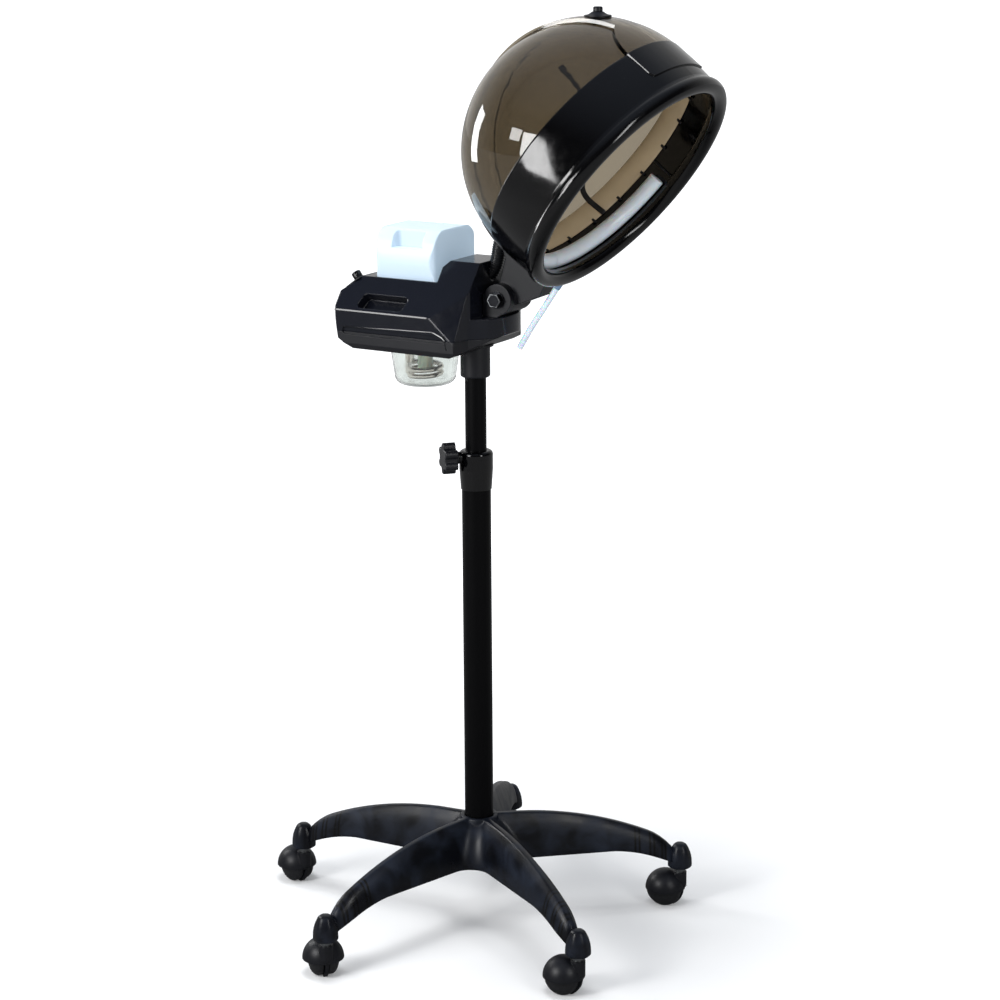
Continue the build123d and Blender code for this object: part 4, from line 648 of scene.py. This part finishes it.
boss = turned(Vector(), ((0.0215, 0.092), (0.0255, 0.110), (0.0255, 0.1500), (0.0243, 0.1518), (0.0215, 0.152),
                         (0.0195, 0.1512), (0.0195, 0.146)))
acorn = ((0.0160, 0.056), (0.0165, 0.0566), (0.0167, 0.060), (0.0164, 0.066), (0.0155, 0.072), (0.0141, 0.077),
         (0.0121, 0.082), (0.0100, 0.0862), (0.0086, 0.0880), (0.0066, 0.0893), (0.0030, 0.090))
sockets = [turned(across_arm(pi + star_turn + 2 * pi / 5 * k, 0.280, 0, 0), acorn, 6, 0.05) for k in range(5)]
star = skin("star_base_moulding", [star_rings, boss] + sockets, star_abs)
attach(star, "base")
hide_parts("star_base")
print("star base:", len(star.data.polygons), "faces, with", len(sockets), "sockets")

# %% [markdown]
# ## Steam path
# Steam leaves the hump of the casing through a short nozzle. A bellows sleeve of silicone carries it over the
# tilt joint into the hood's arm. The sleeve has a corrugation every 3 mm, so that it bends with the hood.

# %% Bellows sleeve
sleeve_ends = (Vector((0.0252, 0, 0.8952)), Vector((0.043, 0, 0.945)))
sleeve_pulls = (Vector((0.0385, 0, 0.9085)), Vector((0.0345, 0, 0.930)))
sleeve_line = interpolate_bezier(sleeve_ends[0], sleeve_pulls[0], sleeve_pulls[1], sleeve_ends[1], 100)
sleeve_pitch = 0.003
rings = []
run = 0.0
for k, point in enumerate(sleeve_line):
    ahead = sleeve_line[min(k + 1, len(sleeve_line) - 1)]
    behind = sleeve_line[max(k - 1, 0)]
    if k:
        run += (point - behind).length
    along = (ahead - behind).normalized()
    side = Vector((0, 1, 0))
    radius = 0.0088 + 0.0006 * cos(2 * pi * run / sleeve_pitch)
    rings.append(round_ring(point, side, along.cross(side), radius))
sleeve = skin("steam_sleeve", [rings], sleeve_silicone)
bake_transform(sleeve)
print("sleeve of", round(run * 1000), "mm with", round(run / sleeve_pitch), "corrugations")

# %% [markdown]
# ## Inside the hood
# The steam pipe lies in the rolled lip of the rim and is closed at both ends. Snap tabs along the inner edge of
# the rim hold the acrylic dome, and a tan strip seats it. A thin curved strut stiffens the far wall of the
# dome, and a rib stands behind the pipe's end. The dome's inside is an ellipsoid, a little wider than deep, and
# the strut follows it: its corners are cut off three times, which makes a smooth curve, and its points are pushed
# out until they lie just inside the wall.

# %% Ends of the steam pipe
pipe_radius = 0.010
pipe_forward = 41
pipe_half = (146.4, 154.4)


def pipe_ring(angle, radius, beyond=0.0):
    """A ring round the steam pipe, at an angle along it and a distance in metres beyond that place."""
    turn = radians(angle)
    middle = hood_place(pipe_half[0] * cos(turn), pipe_forward, -pipe_half[1] * sin(turn))
    along = (slope_up * (-pipe_half[0] * sin(turn)) + Vector((0, -pipe_half[1] * cos(turn), 0))).normalized()
    return round_ring(middle + along * beyond, facing, along.cross(facing), radius)


tail = [pipe_ring(160, 0.004, -0.002), pipe_ring(160, 0.0088, -0.0012), pipe_ring(160, pipe_radius + 0.0001)]
tail += [pipe_ring(angle, pipe_radius + 0.0001) for angle in range(162, 180, 2)]
tail.append(pipe_ring(178.4, pipe_radius - 0.0012))
plug = [pipe_ring(256, pipe_radius - 0.0017, -0.004), pipe_ring(256, pipe_radius - 0.0017),
        pipe_ring(256, pipe_radius + 0.0002), pipe_ring(256, pipe_radius + 0.0002, 0.0016),
        pipe_ring(256, pipe_radius - 0.0008, 0.0026), pipe_ring(256, 0.004, 0.0028)]
pipe_ends = skin("steam_pipe_ends", [tail, plug], pipe_plastic)
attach(pipe_ends, "hood")
print("pipe ends:", len(pipe_ends.data.vertices), "points")

# %% Snap tabs
dome_inside = (157.0, 164.8)
tab_count = 22
tab_width = 0.0034
tab_sections = ((22.5, 2.2), (19.5, 2.4), (16.5, 2.0), (14.8, 0.8))
tabs = []
for k in range(tab_count):
    turn = 2 * pi * (k + 0.5) / tab_count
    outward = (slope_up * cos(turn) + Vector((0, sin(turn), 0))).normalized()
    beside = facing.cross(outward)
    rings = []
    for forward, depth in tab_sections:
        shrink = sqrt(1 - (forward / dome_inside[0]) ** 2)
        reach = [half * shrink - depth / 2 for half in dome_inside]
        middle = hood_place(reach[0] * cos(turn), forward, reach[1] * sin(turn))
        rings.append(box_ring(middle, beside, outward, tab_width, depth / 1000))
    tabs.append(rings)
print(len(tabs), "snap tabs, one every", round(360 / tab_count), "degrees")

# %% Strut
strut_points = [Vector(point) for point in ((19, -132, 86), (-7, -98, 130), (-45, -52, 148), (-88, -38, 134),
                                            (-107, -23, 118), (-106, 20, 120))]
dome_scale = Vector((dome_inside[0], dome_inside[0], dome_inside[1]))
corner_cuts = 3
for _ in range(corner_cuts):
    rounded = [strut_points[0]]
    for start, stop in zip(strut_points, strut_points[1:]):
        rounded += [start.lerp(stop, 0.25), start.lerp(stop, 0.75)]
    strut_points = rounded + [strut_points[-1]]
strut_line = []
just_inside = 0.989
for point in strut_points:
    sphere = Vector(point[k] / dome_scale[k] for k in range(3)).normalized() * just_inside
    strut_line.append(Vector(sphere[k] * dome_scale[k] for k in range(3)))
strut_rings = []
for k, point in enumerate(strut_line):
    here = hood_place(*point)
    ahead = hood_place(*strut_line[min(k + 1, len(strut_line) - 1)])
    behind = hood_place(*strut_line[max(k - 1, 0)])
    outward = (here - hood_centre).normalized()
    beside = (ahead - behind).normalized().cross(outward)
    width = 0.0072 if 0 < k < len(strut_line) - 1 else 0.0058
    strut_rings.append(box_ring(here, beside, outward, width, 0.003))
print("strut of", len(strut_rings), "rings")

# %% Rib, seating strip and the finished fittings
rib_rings = []
for forward, width in ((20, 1.2), (20.8, 2.0), (49, 2.0), (50, 1.2)):
    middle = hood_place(-22, forward, 161.6)
    rib_rings.append(box_ring(middle, slope_up, Vector((0, 1, 0)), width / 1000, 0.0034))
liner_rings = []
liner_edge = ((-8.5, 0.3), (-8.2, 0.1), (19.0, 0.1), (19.4, 0.3), (19.0, 0.6), (-8.2, 0.6))
for forward, depth in liner_edge:
    shrink = sqrt(1 - (forward / dome_inside[0]) ** 2)
    ring = []
    for step in range(96):
        turn = 2 * pi * step / 96
        ring.append(hood_place((dome_inside[0] * shrink - depth) * cos(turn), forward,
                               (dome_inside[1] * shrink - depth) * sin(turn)))
    liner_rings.append(ring)
liner = loop_skin("dome_seating_strip", liner_rings, tan_strip)
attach(liner, "hood")
fittings = skin("hood_inner_fittings", tabs + [strut_rings, rib_rings], satin_abs)
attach(fittings, "hood")
print("hood fittings:", len(fittings.data.polygons), "faces; seating strip:", len(liner.data.polygons))

# %% [markdown]
# ## The timer's knob
# A knurled knob sets the steaming time. Twenty flutes round its side give the fingers grip.

# %% Knurled timer knob
knob_foot = Vector((-0.15106, -0.040, 0.87795))
knob_up = Vector((-0.590, 0, 0.807)).normalized()
knob_across = Vector((0, 1, 0))
rings = []
knob_profile = ((0.0, 0.0062, 0.0), (0.0004, 0.0065, 0.0), (0.0016, 0.0065, 0.0), (0.002, 0.0063, 0.0005),
                (0.0102, 0.0063, 0.0005), (0.0108, 0.0062, 0.0), (0.0116, 0.0057, 0.0), (0.012, 0.0048, 0.0),
                (0.0117, 0.0042, 0.0))
knob_flutes = 20
for height, radius, depth in knob_profile:
    ring = []
    for k in range(80):
        turn = 2 * pi * k / 80
        reach = radius - depth * (0.5 - 0.5 * cos(knob_flutes * turn))
        ring.append(knob_foot + knob_up * height
                    + (knob_across * cos(turn) + knob_up.cross(knob_across) * sin(turn)) * reach)
    rings.append(ring)
timer_grip = skin("timer_grip", [rings], gloss_abs)
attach(timer_grip, "timer")
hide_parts("timer_knob")
print("timer knob with", knob_flutes, "flutes")

# %% [markdown]
# ## The casing's edges
# Where a side of the casing meets its shoulder, the mould left a flat, polished chamfer about 2 mm wide. A narrower
# one frames the channel at the joint of the two halves. Both are long strips that lean back a little, so that they
# mirror the window as thin bright lines. A band of light zinc round the pivot bolt's hexagon is a painted highlight
# along its edges.

# %% Chamfers and bolt rim
strip_lean = (0.945, 0.326)
strip_depth = 0.0008


def chamfer(points, side, width):
    """Rings of a thin flat strip along points, leaning back by 19 degrees, on the side -1 or 1 of the casing."""
    out = Vector((0, side * strip_lean[0], strip_lean[1]))
    strip = []
    for k in range(len(points)):
        along = (points[min(k + 1, len(points) - 1)] - points[max(k - 1, 0)]).normalized()
        across = along.cross(out).normalized()
        strip.append(box_ring(points[k], across, out, width, strip_depth, 16, 0.15))
    return strip


edge_strips = []
for side in (-1, 1):
    shoulder_edge = [Vector((x / 1000, side * 0.0848, 0.8452)) for x in (-161.5, -160, -20.5, -19.5)]
    channel_edge = [Vector((x / 1000, side * 0.0849, z / 1000)) for x, z in
                    ((-150, 822.6), (-148.5, 823.6), (-14, 827.6), (-10, 827), (2, 822), (6, 818), (9, 806))]
    edge_strips += [chamfer(shoulder_edge, side, 0.0023), chamfer(channel_edge, side, 0.0014)]
edges = skin("casing_edges", edge_strips, polished_edge)
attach(edges, "head")
hexagons = []
pivot = Vector((0.05, 0, 0.866))
for corner, level in ((9.8, 36.3), (9.8, 37.0), (8.3, 37.0), (8.3, 36.3)):
    middle = pivot - Vector((0, level / 1000, 0))
    hexagons.append(round_ring(middle, Vector((1, 0, 0)), Vector((0, 0, 1)), corner / 1000, 6))
# Painted highlight: a light zinc hexagonal band stands for the light caught by the bolt head's edges.
bolt_rim_highlight = loop_skin("pivot_bolt_highlight_rim", hexagons, zinc)
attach(bolt_rim_highlight, "head")
print(len(edge_strips), "polished strips and a hexagonal rim")

# %% [markdown]
# ## Floor, world and lamps
# The machine stands on a white studio floor that keeps only its soft shadow. The floor and the world are white
# to the camera and through clear plastics. Black gloss plastic needs something darker to mirror, so reflections
# see a room that is dim on the camera's side and white behind the machine, as in a studio with a white backdrop,
# with a faint bluish ceiling. One of the lamps is placed so that the casing's edges mirror it to the camera.

# %% Floor
floor_mesh = bpy.data.meshes.new("studio_floor")
floor_mesh.from_pydata([(-60, -60, 0), (60, -60, 0), (60, 60, 0), (-60, 60, 0)], [], [(0, 1, 2, 3)])
floor = bpy.data.objects.new("studio_floor", floor_mesh)
bpy.context.scene.collection.objects.link(floor)
floor_white = bpy.data.materials.new("white_studio_floor")
floor_white.use_nodes = True
tree = floor_white.node_tree
tree.nodes.remove(tree.nodes["Principled BSDF"])
ray = add(tree, "ShaderNodeLightPath")
seen = add(tree, "ShaderNodeMath", links={0: ray.outputs["Is Camera Ray"], 1: ray.outputs["Is Transmission Ray"]},
           operation="MAXIMUM")
faint = add(tree, "ShaderNodeMath", {1: 0.3}, {0: ray.outputs["Is Glossy Ray"]}, operation="MULTIPLY")
seen = add(tree, "ShaderNodeMath", links={0: seen.outputs["Value"], 1: faint.outputs["Value"]}, operation="MAXIMUM")
place = add(tree, "ShaderNodeNewGeometry")
away = add(tree, "ShaderNodeVectorMath", links={0: place.outputs["Position"]}, operation="LENGTH")
glow = add(tree, "ShaderNodeMapRange", {"From Min": 0.35, "From Max": 2.0, "To Min": 0.12, "To Max": 1.0},
           {"Value": away.outputs["Value"]})
glow = add(tree, "ShaderNodeMath", links={0: glow.outputs["Result"], 1: seen.outputs["Value"]}, operation="MULTIPLY")
dull = add(tree, "ShaderNodeMixRGB", {"Color1": paint("#e6e6e6"), "Color2": paint("#606060")},
           {"Fac": ray.outputs["Is Glossy Ray"]})
matt = add(tree, "ShaderNodeBsdfDiffuse", links={"Color": dull.outputs["Color"]})
white = add(tree, "ShaderNodeEmission", {"Color": (1, 1, 1, 1)}, {"Strength": glow.outputs["Value"]})
both = add(tree, "ShaderNodeAddShader", links={0: matt.outputs["BSDF"], 1: white.outputs["Emission"]})
tree.links.new(both.outputs["Shader"], tree.nodes["Material Output"].inputs["Surface"])
floor_mesh.materials.append(floor_white)
print("floor of", floor.dimensions.x, "m")

# %% World
world = bpy.data.worlds.new("white_studio")
bpy.context.scene.world = world
world.use_nodes = True
tree = world.node_tree
back = tree.nodes["Background"]
ray = add(tree, "ShaderNodeLightPath")
seen = add(tree, "ShaderNodeMath", links={0: ray.outputs["Is Camera Ray"], 1: ray.outputs["Is Transmission Ray"]},
           operation="MAXIMUM")
way = add(tree, "ShaderNodeTexCoord")
behind = add(tree, "ShaderNodeVectorMath", {1: (-0.5, 0.83, -0.1)}, {0: way.outputs["Generated"]},
             operation="DOT_PRODUCT")
room = add(tree, "ShaderNodeMapRange", {"From Min": 0.1, "From Max": 0.97, "To Min": 0.03, "To Max": 0.7},
           {"Value": behind.outputs["Value"]})
tall = add(tree, "ShaderNodeSeparateXYZ", links={"Vector": way.outputs["Generated"]})
ceiling = add(tree, "ShaderNodeMapRange", {"From Min": 0.5, "From Max": 0.95, "To Min": 0.0, "To Max": 0.3},
              {"Value": tall.outputs["Z"]})
ceiling = add(tree, "ShaderNodeMixRGB", {"Color1": (0, 0, 0, 1), "Color2": (0.8, 0.92, 1.15, 1)},
              {"Fac": ceiling.outputs["Result"]})
mirrored = add(tree, "ShaderNodeMixRGB", {"Fac": 1.0}, {"Color1": room.outputs["Result"],
                                                        "Color2": ceiling.outputs["Color"]}, blend_type="ADD")
soft = add(tree, "ShaderNodeMixRGB", {"Color1": (0.4, 0.42, 0.45, 1)},
           {"Fac": ray.outputs["Is Glossy Ray"], "Color2": mirrored.outputs["Color"]})
shown = add(tree, "ShaderNodeMixRGB", {"Color2": (1, 1, 1, 1)},
            {"Fac": seen.outputs["Value"], "Color1": soft.outputs["Color"]})
tree.links.new(shown.outputs["Color"], back.inputs["Color"])
print("world:", world.name)

# %% Soft lamps
def softbox(name, place, aim, width, height, power):
    """A rectangular area lamp at place, aimed at a point. Clear plastics don't show it as a white patch."""
    data = bpy.data.lights.new(name, "AREA")
    data.shape = "RECTANGLE"
    data.size = width
    data.size_y = height
    data.energy = power
    lamp = bpy.data.objects.new(name, data)
    bpy.context.scene.collection.objects.link(lamp)
    lamp.location = place
    lamp.rotation_mode = "QUATERNION"
    lamp.rotation_quaternion = (Vector(aim) - Vector(place)).to_track_quat("-Z", "Y")
    lamp.visible_transmission = False
    return lamp


hood_middle = (0.17, 0, 1.06)
casing_edge = (-0.09, -0.085, 0.845)
softbox("window_behind_left", (-1.87, 0.1, 1.2), hood_middle, 0.42, 0.87, 12)
softbox("window_front_left", (-0.63, -1.93, 1.3), hood_middle, 0.62, 0.85, 30)
softbox("window_right", (2.3, -0.9, 1.6), hood_middle, 0.4, 1.3, 18)
softbox("window_far_left", (-1.40, -1.90, 1.72), casing_edge, 0.5, 0.4, 8)
overhead = softbox("overhead", (0.1, -0.2, 3.2), (0, 0, 0.4), 1.3, 1.3, 50)
overhead.data.color = (0.96, 0.98, 1.0)
overhead.visible_glossy = False
